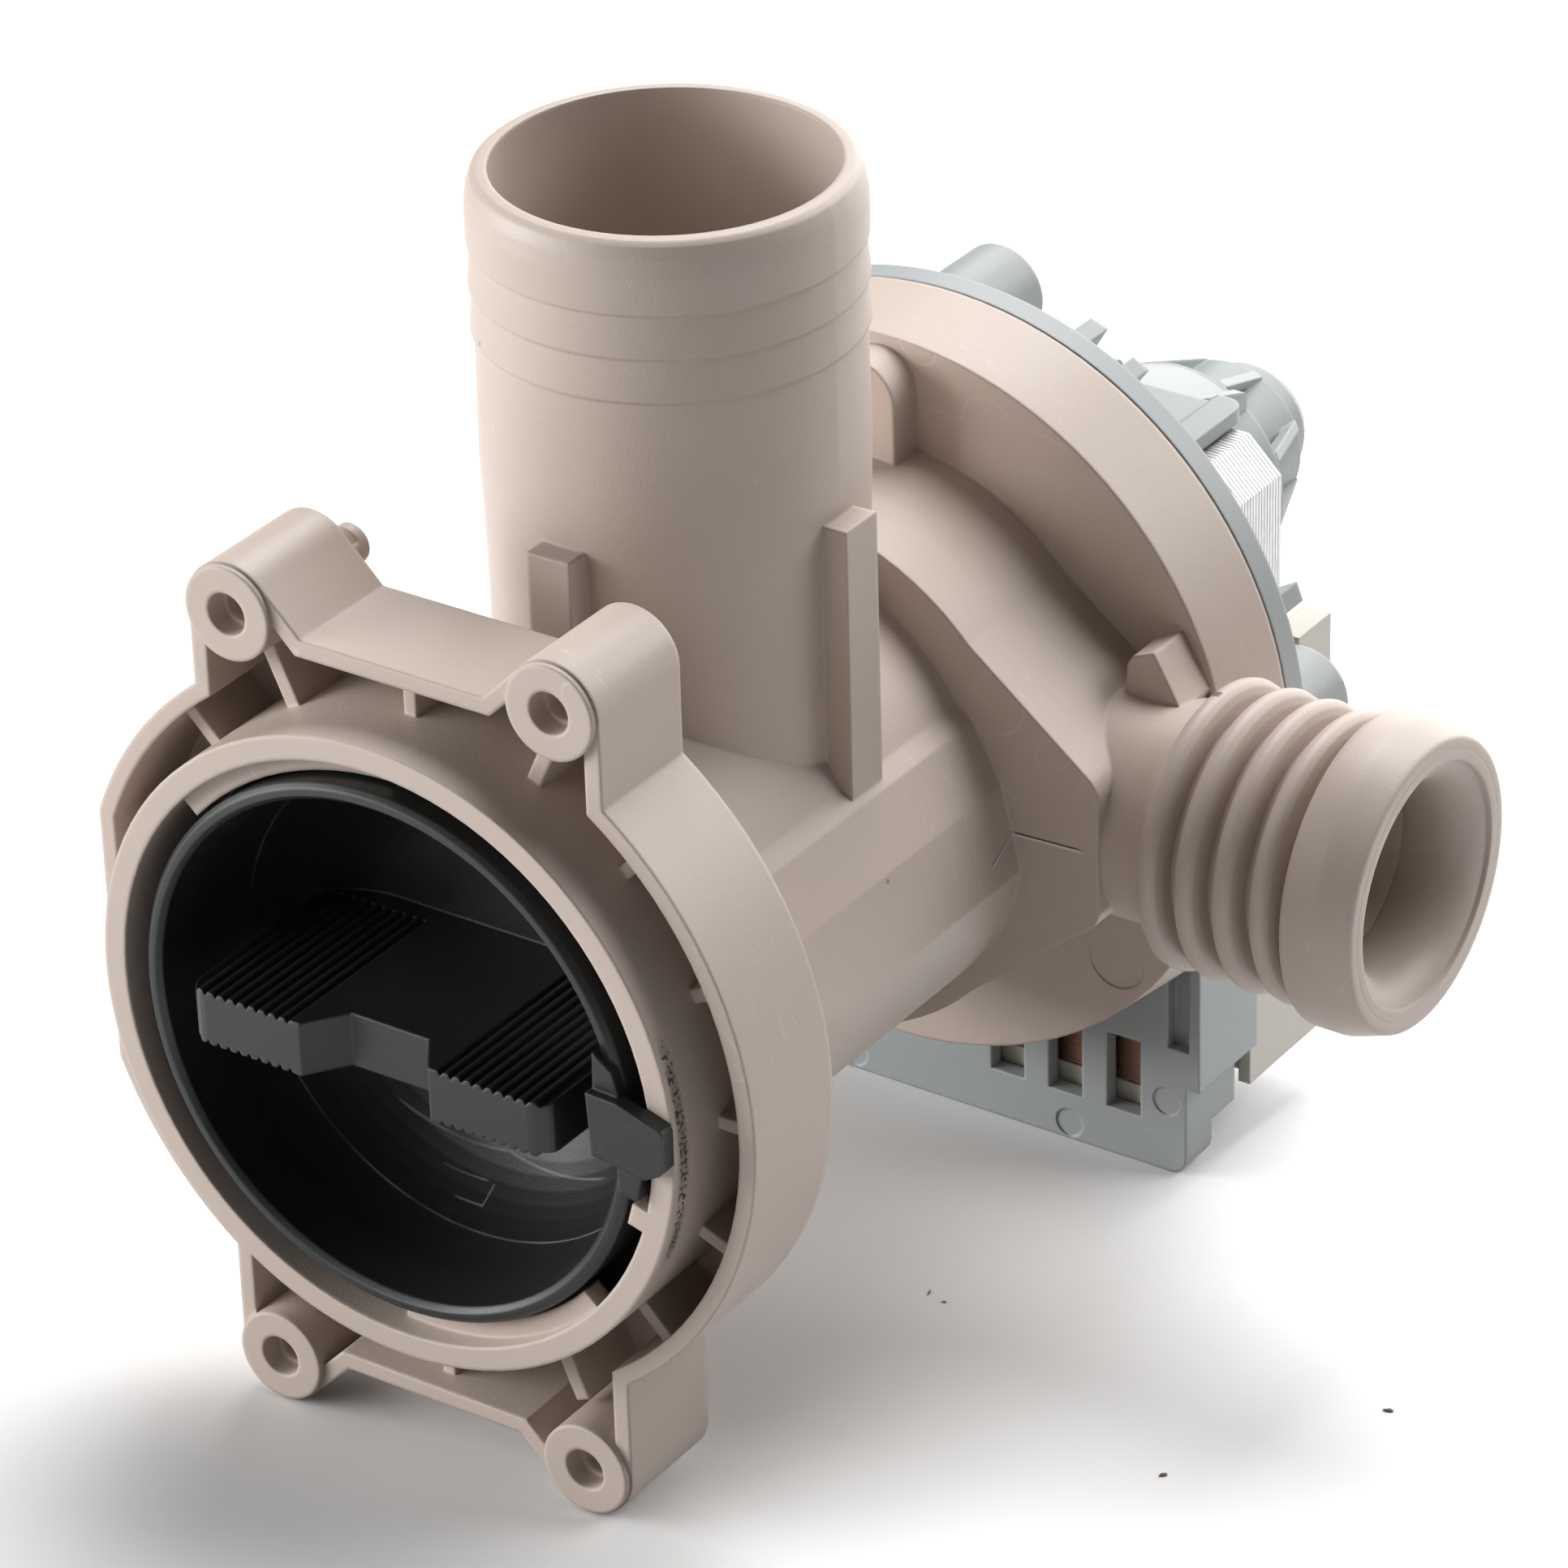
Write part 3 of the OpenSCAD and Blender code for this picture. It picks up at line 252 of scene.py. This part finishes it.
def drawn_line_group():
    """A line: points within a half width of a plane, given by its normal and offset, and inside
    a box, given by its centre and half sizes. Both limits fade softly."""
    g, ins, outs = new_group("drawn_line", [
        ("Normal", VECTOR, (0, 0, 1)), ("Offset", FLOAT, 0.0), ("Half", FLOAT, 0.0001),
        ("Soft", FLOAT, 0.0001), ("Centre", VECTOR, (0, 0, 0)), ("Reach", VECTOR, (1, 1, 1))],
        [("Mask", FLOAT)])
    place = put(g, "ShaderNodeTexCoord")
    along = put(g, "ShaderNodeVectorMath", operation="DOT_PRODUCT")
    off = put(g, "ShaderNodeMath", operation="SUBTRACT")
    size = put(g, "ShaderNodeMath", operation="ABSOLUTE")
    over = put(g, "ShaderNodeMath", operation="SUBTRACT")
    share = put(g, "ShaderNodeMath", operation="DIVIDE")
    near = ramp(g, 0.0, 1.0, 1.0, 0.0)
    from_centre = put(g, "ShaderNodeVectorMath", operation="SUBTRACT")
    sizes = put(g, "ShaderNodeVectorMath", operation="ABSOLUTE")
    shares = put(g, "ShaderNodeVectorMath", operation="DIVIDE")
    parts = put(g, "ShaderNodeSeparateXYZ")
    two = put(g, "ShaderNodeMath", operation="MAXIMUM")
    three = put(g, "ShaderNodeMath", operation="MAXIMUM")
    inside = ramp(g, 0.8, 1.0, 1.0, 0.0)
    mask = put(g, "ShaderNodeMath", operation="MULTIPLY")
    for a, b in (((place, "Object"), (along, 0)), ((ins, "Normal"), (along, 1)),
                 ((along, "Value"), (off, 0)), ((ins, "Offset"), (off, 1)),
                 ((off, 0), (size, 0)), ((size, 0), (over, 0)), ((ins, "Half"), (over, 1)),
                 ((over, 0), (share, 0)), ((ins, "Soft"), (share, 1)), ((share, 0), (near, 0)),
                 ((place, "Object"), (from_centre, 0)), ((ins, "Centre"), (from_centre, 1)),
                 ((from_centre, 0), (sizes, 0)), ((sizes, 0), (shares, 0)),
                 ((ins, "Reach"), (shares, 1)), ((shares, 0), (parts, 0)),
                 ((parts, 0), (two, 0)), ((parts, 1), (two, 1)), ((two, 0), (three, 0)),
                 ((parts, 2), (three, 1)), ((three, 0), (inside, 0)), ((near, 0), (mask, 0)),
                 ((inside, 0), (mask, 1)), ((mask, 0), (outs, "Mask"))):
        join(g, a, b)
    return g


LINE = drawn_line_group()


def drawn_lines(tree, lines, noise, low, high):
    """The strongest of several drawn lines, broken up by noise cut between two levels. Lengths
    are given in millimetres: normal, offset, half width, soft edge, centre and half sizes."""
    mask = None
    for normal, offset, half, soft, centre, reach in lines:
        line = group_node(tree, LINE, Normal=normal, Offset=offset / 1000, Half=half / 1000,
                          Soft=soft / 1000, Centre=tuple(c / 1000 for c in centre),
                          Reach=tuple(c / 1000 for c in reach))
        if mask is None:
            mask = (line, "Mask")
            continue
        both = put(tree, "ShaderNodeMath", operation="MAXIMUM")
        join(tree, mask, (both, 0))
        join(tree, (line, "Mask"), (both, 1))
        mask = (both, 0)
    place = put(tree, "ShaderNodeTexCoord")
    broken = put(tree, "ShaderNodeTexNoise", inputs={"Scale": noise, "Detail": 2.0})
    cut = ramp(tree, low, high, 0.0, 1.0)
    kept = put(tree, "ShaderNodeMath", operation="MULTIPLY")
    join(tree, (place, "Object"), (broken, "Vector"))
    join(tree, (broken, "Fac"), (cut, 0))
    join(tree, mask, (kept, 0))
    join(tree, (cut, 0), (kept, 1))
    return kept, 0


def recolour(tree, shader, mask, colour):
    """Lays a colour over the shader's base colour, which is a colour mix, where the mask is."""
    present = shader.inputs["Base Color"].links[0].from_node
    mixed = colour_mix(tree, mask, (present, MIX_RESULT), colour)
    join(tree, mixed, (shader, "Base Color"))


def surface(name, points, body, material):
    """A smooth closed mesh from a grid of points of shape (rows, columns, 3). Each face joins two
    neighbouring rows and columns, and the last row and column join the first. A face's normal is
    the step to the next row crossed with the step to the next column."""
    rows, columns = points.shape[:2]
    i = np.arange(rows)[:, None]
    j = np.arange(columns)[None, :]
    i2, j2 = (i + 1) % rows, (j + 1) % columns
    faces = np.stack([i * columns + j, i2 * columns + j, i2 * columns + j2, i * columns + j2],
                     axis=-1).reshape(-1, 4)
    mesh = bpy.data.meshes.new(name)
    mesh.from_pydata(points.reshape(-1, 3).tolist(), [], faces.tolist())
    mesh.shade_smooth()
    piece = bpy.data.objects.new(name, mesh)
    bpy.context.scene.collection.objects.link(piece)
    mesh.materials.append(material)
    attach(piece, body)
    return piece


# Its pale arrises are partly a painted highlight, strong enough to draw light lines along the
# inlet pipe's steps.
tan_plastic, t, shader = moulded_plastic(
    "tan_plastic", TAN, TAN_PALE, TAN_DARK, rough=0.44, radius=0.0007, grain=2600.0, bump=0.35,
    tone=0.10, edge_wear_and_highlight=0.32)
# The parting line on the volute's right end is painted: a dark line of painted shade for its
# groove, and a pale line of painted highlight for the lip under it.
PARTING_PLANE = (-0.038, -0.4, 1.0)
PARTING_REACH = (4.9, 3.0, 2.3)
parting_groove_shade = drawn_lines(t, [(PARTING_PLANE, -30.50, 0.07, 0.10, (34.9, 71.5, -0.4), PARTING_REACH)],
                      noise=300.0, low=0.1, high=0.3)
parting_lip_highlight = drawn_lines(t, [(PARTING_PLANE, -30.78, 0.08, 0.12, (34.9, 71.5, -0.6),
                               PARTING_REACH)], noise=300.0, low=0.1, high=0.3)
# The scuff on the ring's outer wall is a gray smear with dark flecks in it.
scuff_line = [((0.0, 1.0, 0.03), -2.75, 0.45, 0.55, (35.5, -2.2, 0.0), (4.0, 1.7, 15.0))]
smear = scaled(t, drawn_lines(t, scuff_line, noise=220.0, low=0.33, high=0.52), 0.62)
scuff = drawn_lines(t, scuff_line, noise=1900.0, low=0.52, high=0.57)
# The gate mark is a small dark dot on top of the outlet's first ridge.
gate = drawn_lines(t, [((1.0, 0.0, 0.0), 49.35, 0.35, 0.2, (49.35, 86.56, 17.1),
                        (0.6, 0.6, 0.6))], noise=300.0, low=0.1, high=0.2)
# Painted highlight on the parting line's lip, then painted shade in its groove.
recolour(t, shader, parting_lip_highlight, (0.80, 0.74, 0.69))
recolour(t, shader, parting_groove_shade, (0.07, 0.055, 0.045))
recolour(t, shader, smear, (0.13, 0.115, 0.11))
recolour(t, shader, scuff, (0.03, 0.028, 0.027))
recolour(t, shader, gate, (0.12, 0.09, 0.07))
dress("pump_housing", tan_plastic)


def outlet_mouth():
    """The collar and lip of the outlet: a closed section turned about the outlet's axis. Outside
    are a short round shoulder, a plain band and a bevel, in front a narrow flat ring, and inside
    a quarter of an ellipse from the ring down to a short sleeve that lines the bore. Its back is
    buried in the housing."""
    axis_y, face_x = 0.0873, 0.0762
    shoulder_x, shoulder_r, shoulder_round = 0.0684, 0.0177, 0.0008
    bell_back_x, bell_depth = 0.0704, 0.0055
    bore_r, bell_flare = 0.01097, 0.00443
    shoulder = np.radians(np.linspace(0.0, 90.0, 7))
    bell = np.radians(np.linspace(90.0, 0.0, 21))
    profile = np.concatenate([
        [[0.0676, 0.0150]],
        np.stack([shoulder_x - shoulder_round * np.cos(shoulder),
                  shoulder_r + shoulder_round * np.sin(shoulder)], 1),
        [[0.0717, 0.01853], [0.0720, 0.01850], [0.0723, 0.01842], [0.0757, 0.01738],
         [0.07595, 0.01728], [0.07612, 0.01712], [face_x - 0.00002, 0.01690],
         [face_x - 0.00001, 0.0157], [face_x - 0.00006, 0.01545]],
        np.stack([bell_back_x + bell_depth * np.sin(bell),
                  bore_r + bell_flare * (1.0 - np.cos(bell))], 1),
        [[0.0668, bore_r], [0.0666, 0.01110], [0.0666, 0.0120]]])
    section_x, section_r = profile[::-1, 0, None], profile[::-1, 1, None]
    turn = np.linspace(0.0, 2.0 * math.pi, 128, endpoint=False)
    x = np.broadcast_to(section_x, (len(profile), len(turn)))
    points = np.stack([x, axis_y + section_r * np.cos(turn), section_r * np.sin(turn)], 2)
    surface("outlet_mouth", points, "pump", tan_plastic)


outlet_mouth()

# filter
# The screw-in lint filter: a black cap with its grip bar, and behind it the lint basket.
# Satin polypropylene, a little paler where fingers have rubbed the grip.
BLACK = (0.0145, 0.0162, 0.0162)
BLACK_PALE = (0.075, 0.08, 0.08)
BLACK_DARK = (0.006, 0.007, 0.007)
black_plastic = moulded_plastic(
    "black_plastic", BLACK, BLACK_PALE, BLACK_DARK, rough=0.46, radius=0.0005, grain=3000.0,
    bump=0.25, specks=0.0)[0]
cap_plastic, t, shader = moulded_plastic(
    "cap_plastic", BLACK, BLACK_PALE, BLACK_DARK, rough=0.40, radius=0.0005, grain=3000.0,
    bump=0.25, scratches=0.12, specks=0.0)
# Pale lines of painted highlight in the cap's bowl, where its creases and steps catch light: a
# ring above and below the handle, two arcs at the bottom, and three strokes on the edges of a
# small raised D-shaped mould mark.
RING_PLANE = (0.028, 1.0, 0.0)
bowl_crease_highlight = drawn_lines(t, [
    (RING_PLANE, 8.62, 0.05, 0.14, (0.0, 8.6, 20.0), (32.0, 4.0, 14.0)),
    (RING_PLANE, 8.62, 0.05, 0.14, (0.0, 8.6, -18.0), (32.0, 4.0, 14.5)),
    ((-0.094, 1.0, 0.0), 16.9, 0.04, 0.12, (-7.2, 16.2, -20.5), (7.6, 3.0, 6.0)),
    ((0.139, 1.0, 0.0), 16.9, 0.04, 0.12, (7.2, 16.0, -20.5), (7.6, 3.0, 6.0)),
    ((-0.07, 1.0, 0.0), 14.2, 0.05, 0.10, (-4.1, 13.9, -24.5), (3.2, 1.0, 3.0)),
    ((-0.04, 1.0, 0.0), 11.62, 0.05, 0.10, (-2.0, 11.5, -26.4), (2.0, 1.0, 3.0)),
    ((1.0, 0.0, 0.0), -0.2, 0.05, 0.10, (-0.2, 12.7, -25.5), (1.0, 1.4, 3.0))],
    noise=110.0, low=0.25, high=0.6)
# Painted highlight along the bowl's creases and the mould mark's edges.
recolour(t, shader, bowl_crease_highlight, (0.17, 0.18, 0.18))
dress("filter_cap", cap_plastic)
dress("filter_basket", black_plastic)

# seals
# Rings of black nitrile rubber: one on the filter, one between the volute and the motor, and
# the lip seal and rear cushion on the shaft.
RUBBER = (0.020, 0.020, 0.021)
rubber = moulded_plastic(
    "rubber", RUBBER, (0.06, 0.06, 0.06), (0.01, 0.01, 0.01), rough=0.72, radius=0.0003,
    grain=2200.0, bump=0.2, specks=0.0)[0]
for node in ("filter_seal", "volute_seal", "shaft_seal", "bearing_rubber"):
    dress(node, rubber)

# motor housing and covers
# Blue-gray glass-filled moulding that holds the can and the coil box, with a cover of the same
# plastic over the back of the coils.
GRAY = (0.345, 0.368, 0.372)
GRAY_PALE = (0.60, 0.62, 0.62)
GRAY_DARK = (0.25, 0.265, 0.27)
gray_plastic = moulded_plastic(
    "gray_plastic", GRAY, GRAY_PALE, GRAY_DARK, rough=0.42, radius=0.0005, grain=2400.0,
    bump=0.25, tone=0.14, edge_wear_and_highlight=0.30)[0]
dress("motor_housing", gray_plastic)
dress("rear_cover", gray_plastic)

# coil frame and nylon parts
# Cream glass-filled nylon, injection moulded: the frame that the coils are wound on, which sits
# on the legs of the core, and the rotor's hub and two thrust washers.
CREAM = (0.58, 0.55, 0.49)
cream_nylon = moulded_plastic(
    "cream_nylon", CREAM, (0.84, 0.83, 0.74), (0.50, 0.47, 0.34), rough=0.40, radius=0.0004,
    grain=2000.0, bump=0.2, tone=0.15, edge_wear_and_highlight=0.3)[0]
for node in ("coil_frame", "rotor_hub", "front_washer", "rear_washer"):
    dress(node, cream_nylon)

# steel parts
# Punched core plates with bright cut edges, held together by four plated rivets, plated screws
# that hold the motor to the pump, the push-on clip, and the ground shaft.


def worked_metal(name, base, dark, rough, radius, stretch, bump):
    """Metal: noise squeezed along the working direction gives the draw lines, and a broad noise
    the stains and the dull places."""
    m = bpy.data.materials.new(name)
    m.use_nodes = True
    t = m.node_tree
    shader = t.nodes["Principled BSDF"]
    shader.inputs["Metallic"].default_value = 1.0
    edges = group_node(t, EDGES, Radius=radius)
    skin = group_node(t, GRAIN, Scale=1500.0)
    place = put(t, "ShaderNodeTexCoord")
    turn = put(t, "ShaderNodeMapping", inputs={"Scale": stretch})
    lines = put(t, "ShaderNodeTexNoise", inputs={"Scale": 900.0, "Detail": 3.0})
    join(t, (place, "Object"), (turn, "Vector"))
    join(t, (turn, 0), (lines, "Vector"))
    colour = colour_mix(t, scaled(t, (skin, "Tone"), 0.3), base, dark)
    join(t, colour, (shader, "Base Color"))
    gloss = ramp(t, 0.3, 0.7, rough - 0.08, rough + 0.12)
    join(t, (lines, "Fac"), (gloss, 0))
    join(t, (gloss, 0), (shader, "Roughness"))
    relief = put(t, "ShaderNodeBump", inputs={"Strength": bump, "Distance": 0.00008})
    join(t, (lines, "Fac"), (relief, "Height"))
    join(t, (edges, "Normal"), (relief, "Normal"))
    join(t, (relief, 0), (shader, "Normal"))
    return m


core_steel = worked_metal(
    "core_steel", (0.62, 0.62, 0.61), (0.36, 0.35, 0.34), rough=0.38, radius=0.0001,
    stretch=(0.2, 1.0, 1.0), bump=0.35)
zinc_steel = worked_metal(
    "zinc_steel", (0.66, 0.67, 0.69), (0.42, 0.42, 0.42), rough=0.30, radius=0.0002,
    stretch=(1.0, 1.0, 1.0), bump=0.25)
ground_steel = worked_metal(
    "ground_steel", (0.70, 0.71, 0.72), (0.5, 0.5, 0.5), rough=0.20, radius=0.0002,
    stretch=(1.0, 0.1, 1.0), bump=0.2)
dress("core_plates", core_steel)
for node in ("core_rivets", "motor_screws", "rear_clip"):
    dress(node, zinc_steel)
dress("shaft", ground_steel)

# brass, bronze and ferrite
# Stamped and tinned brass blades for the wiring plug, sintered bronze bearings at both ends of
# the shaft, and the ground ferrite magnet on the rotor's hub.
tinned_brass = worked_metal(
    "tinned_brass", (0.70, 0.68, 0.62), (0.5, 0.46, 0.38), rough=0.28, radius=0.0002,
    stretch=(1.0, 0.1, 1.0), bump=0.25)
bronze = worked_metal(
    "bronze", (0.50, 0.36, 0.19), (0.3, 0.2, 0.1), rough=0.45, radius=0.0002,
    stretch=(1.0, 1.0, 1.0), bump=0.3)
ferrite = moulded_plastic(
    "ferrite", (0.035, 0.035, 0.038), (0.09, 0.09, 0.09), (0.02, 0.02, 0.02), rough=0.5,
    radius=0.0003, grain=1800.0, bump=0.4, specks=0.0)[0]
dress("terminal_blades", tinned_brass)
dress("front_bearing", bronze)
dress("rear_bearing", bronze)
dress("rotor_magnet", ferrite)

# windings
# Two coils of enamelled copper wire on the legs of the core, wound in neat layers. Their outer
# turns show through the vents of the coil box and the slots of the rear cover.
WIRE_PITCH = 0.00040
WIRE_BULGE = 0.4 * WIRE_PITCH
POINTS_PER_TURN = 6
COIL_CORNER = 0.0030
COIL_WALL = 0.97 * COIL_CORNER
END_INSET = 0.0002


def wound_coil(node):
    """A coil: a flat section, tall and thin, carried round a rectangle with round corners. The
    section's outer side is a row of half circles one wire pitch apart, so each turn stands out."""
    low, high = (np.array(c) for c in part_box(node))
    turns = int((high[2] - low[2]) / WIRE_PITCH)
    v = np.arange(turns * POINTS_PER_TURN) / POINTS_PER_TURN
    bulge = np.sqrt(np.clip(1.0 - (2.0 * (v % 1.0) - 1.0) ** 2, 0.0, 1.0))
    outer_z = low[2] + (v + 0.5 / POINTS_PER_TURN) * WIRE_PITCH
    section = np.concatenate([
        np.stack([(bulge - 1.0) * WIRE_BULGE, outer_z], 1),
        [[-END_INSET, high[2]], [-COIL_WALL, high[2]], [-COIL_WALL, low[2]],
         [-END_INSET, low[2]]]])[::-1]
    quarter = np.radians(np.linspace(0.0, 90.0, 9))
    path, normal = [], []
    for k, (side_x, side_y) in enumerate(((1, 1), (-1, 1), (-1, -1), (1, -1))):
        corner = np.array([(high if side_x > 0 else low)[0], (high if side_y > 0 else low)[1]])
        middle = corner - COIL_CORNER * np.array([side_x, side_y])
        angle = quarter + k * math.pi / 2
        n = np.stack([np.cos(angle), np.sin(angle)], 1)
        path.append(middle + n * COIL_CORNER)
        normal.append(n)
    path, normal = np.concatenate(path), np.concatenate(normal)
    xy = path[None, :, :] + normal[None, :, :] * section[:, 0][:, None, None]
    z = np.broadcast_to(section[:, 1][:, None], xy.shape[:2])
    coil = surface(node + "_turns", np.concatenate([xy, z[:, :, None]], axis=2), "pump", copper)
    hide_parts(node)


copper = worked_metal(
    "copper_wire", (0.30, 0.17, 0.13), (0.16, 0.09, 0.072), rough=0.38, radius=0.0001,
    stretch=(1.0, 1.0, 6.0), bump=0.5)
wound_coil("winding_left")
wound_coil("winding_right")

# wheel, driver and holder
# Black glass-filled mouldings: the impeller and the driver are pressed on the shaft, and the
# holder plugs the can's mouth round the front bearing.
for node in ("impeller", "shaft_driver", "bearing_holder"):
    dress(node, black_plastic)

# floor
# A sheet of white paper that the pump rests on with its two lower bosses and its coil box. It
# slopes a little in the pump's frame, because the bosses end higher than the coil box does.
FRONT_REST, REAR_REST = (0.001, -0.0530), (0.1083, -0.0643)
FLOOR_HALF = 4.0
FLOOR_GAP = 0.00005
slope = (REAR_REST[1] - FRONT_REST[1]) / (REAR_REST[0] - FRONT_REST[0])
base_z = FRONT_REST[1] - slope * FRONT_REST[0] - FLOOR_GAP
corners = [(x, y, base_z + slope * y) for x, y in
           ((-FLOOR_HALF, -FLOOR_HALF), (FLOOR_HALF, -FLOOR_HALF), (FLOOR_HALF, FLOOR_HALF),
            (-FLOOR_HALF, FLOOR_HALF))]
floor_mesh = bpy.data.meshes.new("floor")
floor_mesh.from_pydata(corners, [], [(0, 1, 2, 3)])
floor = bpy.data.objects.new("floor", floor_mesh)
bpy.context.scene.collection.objects.link(floor)
paper = bpy.data.materials.new("paper")
paper.use_nodes = True
t = paper.node_tree
shader = t.nodes["Principled BSDF"]
# The paper is white to the camera and in reflections, and gray as a source of bounced light.
seen = put(t, "ShaderNodeLightPath")
shown = put(t, "ShaderNodeMath", operation="MAXIMUM")
join(t, (seen, "Is Camera Ray"), (shown, 0))
join(t, (seen, "Is Glossy Ray"), (shown, 1))
pale = colour_mix(t, (shown, 0), (0.50, 0.50, 0.50), (0.93, 0.93, 0.93))
join(t, pale, (shader, "Base Color"))
shader.inputs["Roughness"].default_value = 0.9
shader.inputs["Specular IOR Level"].default_value = 0.1
floor_mesh.materials.append(paper)

# crumbs
# Four bits of dried sealant and grit that lie on the paper below the outlet, as in the
# photograph. They belong to the stage and not to the pump.
CRUMB_COLUMNS, CRUMB_ROWS = 24, 12
crumb_finish = moulded_plastic(
    "crumb", (0.17, 0.165, 0.12), (0.3, 0.3, 0.25), (0.08, 0.08, 0.06), rough=0.7,
    radius=0.0002, grain=2600.0, bump=0.5, specks=0.0)[0]


def crumb(number, x, y, length, wide, turned):
    """A low lumpy drop: a ball stretched to its length and width, whose radius swells and shrinks
    as the product of a sine round it and a cosine up it, turned about the upright and set with
    its underside on the paper."""
    phase = number - 1
    u = np.linspace(0.0, 2.0 * math.pi, CRUMB_COLUMNS, endpoint=False)[None, :]
    v = np.linspace(-math.pi / 2, math.pi / 2, CRUMB_ROWS)[:, None]
    lump = 1.0 + 0.25 * np.sin(3.0 * u + phase) * np.cos(2.0 * v + 2.0 * phase)
    along = length * lump * np.cos(v) * np.cos(u)
    across = wide * lump * np.cos(v) * np.sin(u)
    px = x + along * math.cos(turned) - across * math.sin(turned)
    py = y + along * math.sin(turned) + across * math.cos(turned)
    pz = base_z + slope * py + 0.5 * wide * (1.0 + lump * np.sin(v))
    faces = []
    for row in range(CRUMB_ROWS - 1):
        low, high = row * CRUMB_COLUMNS, (row + 1) * CRUMB_COLUMNS
        for column in range(CRUMB_COLUMNS):
            after = (column + 1) % CRUMB_COLUMNS
            faces.append((low + column, low + after, high + after, high + column))
    mesh = bpy.data.meshes.new("crumb_%d" % number)
    mesh.from_pydata(np.stack([px, py, pz], 2).reshape(-1, 3).tolist(), [], faces)
    mesh.shade_smooth()
    mesh.materials.append(crumb_finish)
    piece = bpy.data.objects.new("crumb_%d" % number, mesh)
    bpy.context.scene.collection.objects.link(piece)


crumb(1, 0.0235, 0.0649, 0.0007, 0.0001, 1.9)
crumb(2, 0.0804, 0.0731, 0.0006, 0.0003, 0.4)
crumb(3, 0.0675, 0.0452, 0.0005, 0.0003, 1.1)
crumb(4, 0.0262, 0.0640, 0.0003, 0.0002, 0.0)

# light
# Five square soft lamps round the pump. The photograph is lit from behind and from the left, so
# these two are the strong ones, and the world gives a faint fill.
world = bpy.data.worlds.new("studio")
bpy.context.scene.world = world
world.use_nodes = True
sky = world.node_tree.nodes["Background"]
sky.inputs["Color"].default_value = (1.0, 1.0, 1.0, 1.0)
sky.inputs["Strength"].default_value = 0.04
TARGET = np.array([0.0, 0.06, 0.0])


def soft_lamp(name, direction, distance, size, power):
    """A square lamp at a distance in a direction from the pump, facing it."""
    d = np.array(direction, float)
    d /= np.linalg.norm(d)
    lamp = bpy.data.lights.new(name, "AREA")
    lamp.shape = "SQUARE"
    lamp.size = size
    lamp.energy = power
    holder = bpy.data.objects.new(name, lamp)
    bpy.context.scene.collection.objects.link(holder)
    side = np.cross((0.0, 0.0, 1.0), d)
    side /= np.linalg.norm(side)
    top = np.cross(d, side)
    spot = TARGET + d * distance
    holder.matrix_world = Matrix([[side[i], top[i], d[i], spot[i]] for i in range(3)]
                                 + [[0, 0, 0, 1]])


soft_lamp("lamp_back", (-0.05, 1.0, 0.40), distance=1.5, size=1.6, power=24.0)
soft_lamp("lamp_left", (-0.95, -0.62, 0.18), distance=1.3, size=0.8, power=22.0)
soft_lamp("lamp_right", (0.80, 0.70, 0.75), distance=1.3, size=0.7, power=7.0)
soft_lamp("lamp_top", (-0.12, 0.50, 1.0), distance=1.3, size=0.7, power=13.0)
soft_lamp("lamp_front", (-0.50, -1.0, 0.50), distance=1.3, size=0.7, power=4.5)

# camera
# The photograph's view, from the right and above, with a long lens. Its angles, its place and
# its focal length come from a fit to points marked on the photograph.
TURN, TILT, ROLL = math.radians(34.8489), math.radians(29.3496), math.radians(-1.7168)
EYE = (0.4030, -0.5066, 0.3946)
FOCAL_PIXELS, PHOTO_PIXELS, SENSOR_MM = 8659.7, 1932, 36.0
right = np.array([math.cos(TURN), math.sin(TURN), 0.0])
back = np.array([math.sin(TURN) * math.cos(TILT), -math.cos(TURN) * math.cos(TILT),
                 math.sin(TILT)])
above = np.cross(back, right)
right_rolled = right * math.cos(ROLL) + above * math.sin(ROLL)
above_rolled = above * math.cos(ROLL) - right * math.sin(ROLL)
camera = bpy.data.objects.new("camera", bpy.data.cameras.new("camera"))
bpy.context.scene.collection.objects.link(camera)
camera.matrix_world = Matrix([[right_rolled[i], above_rolled[i], back[i], EYE[i]]
                              for i in range(3)] + [[0, 0, 0, 1]])
camera.data.sensor_width = SENSOR_MM
camera.data.lens = FOCAL_PIXELS / PHOTO_PIXELS * SENSOR_MM
camera.data.clip_start = 0.02
camera.data.clip_end = 30.0
bpy.context.scene.camera = camera
bpy.context.scene.view_settings.view_transform = "Standard"
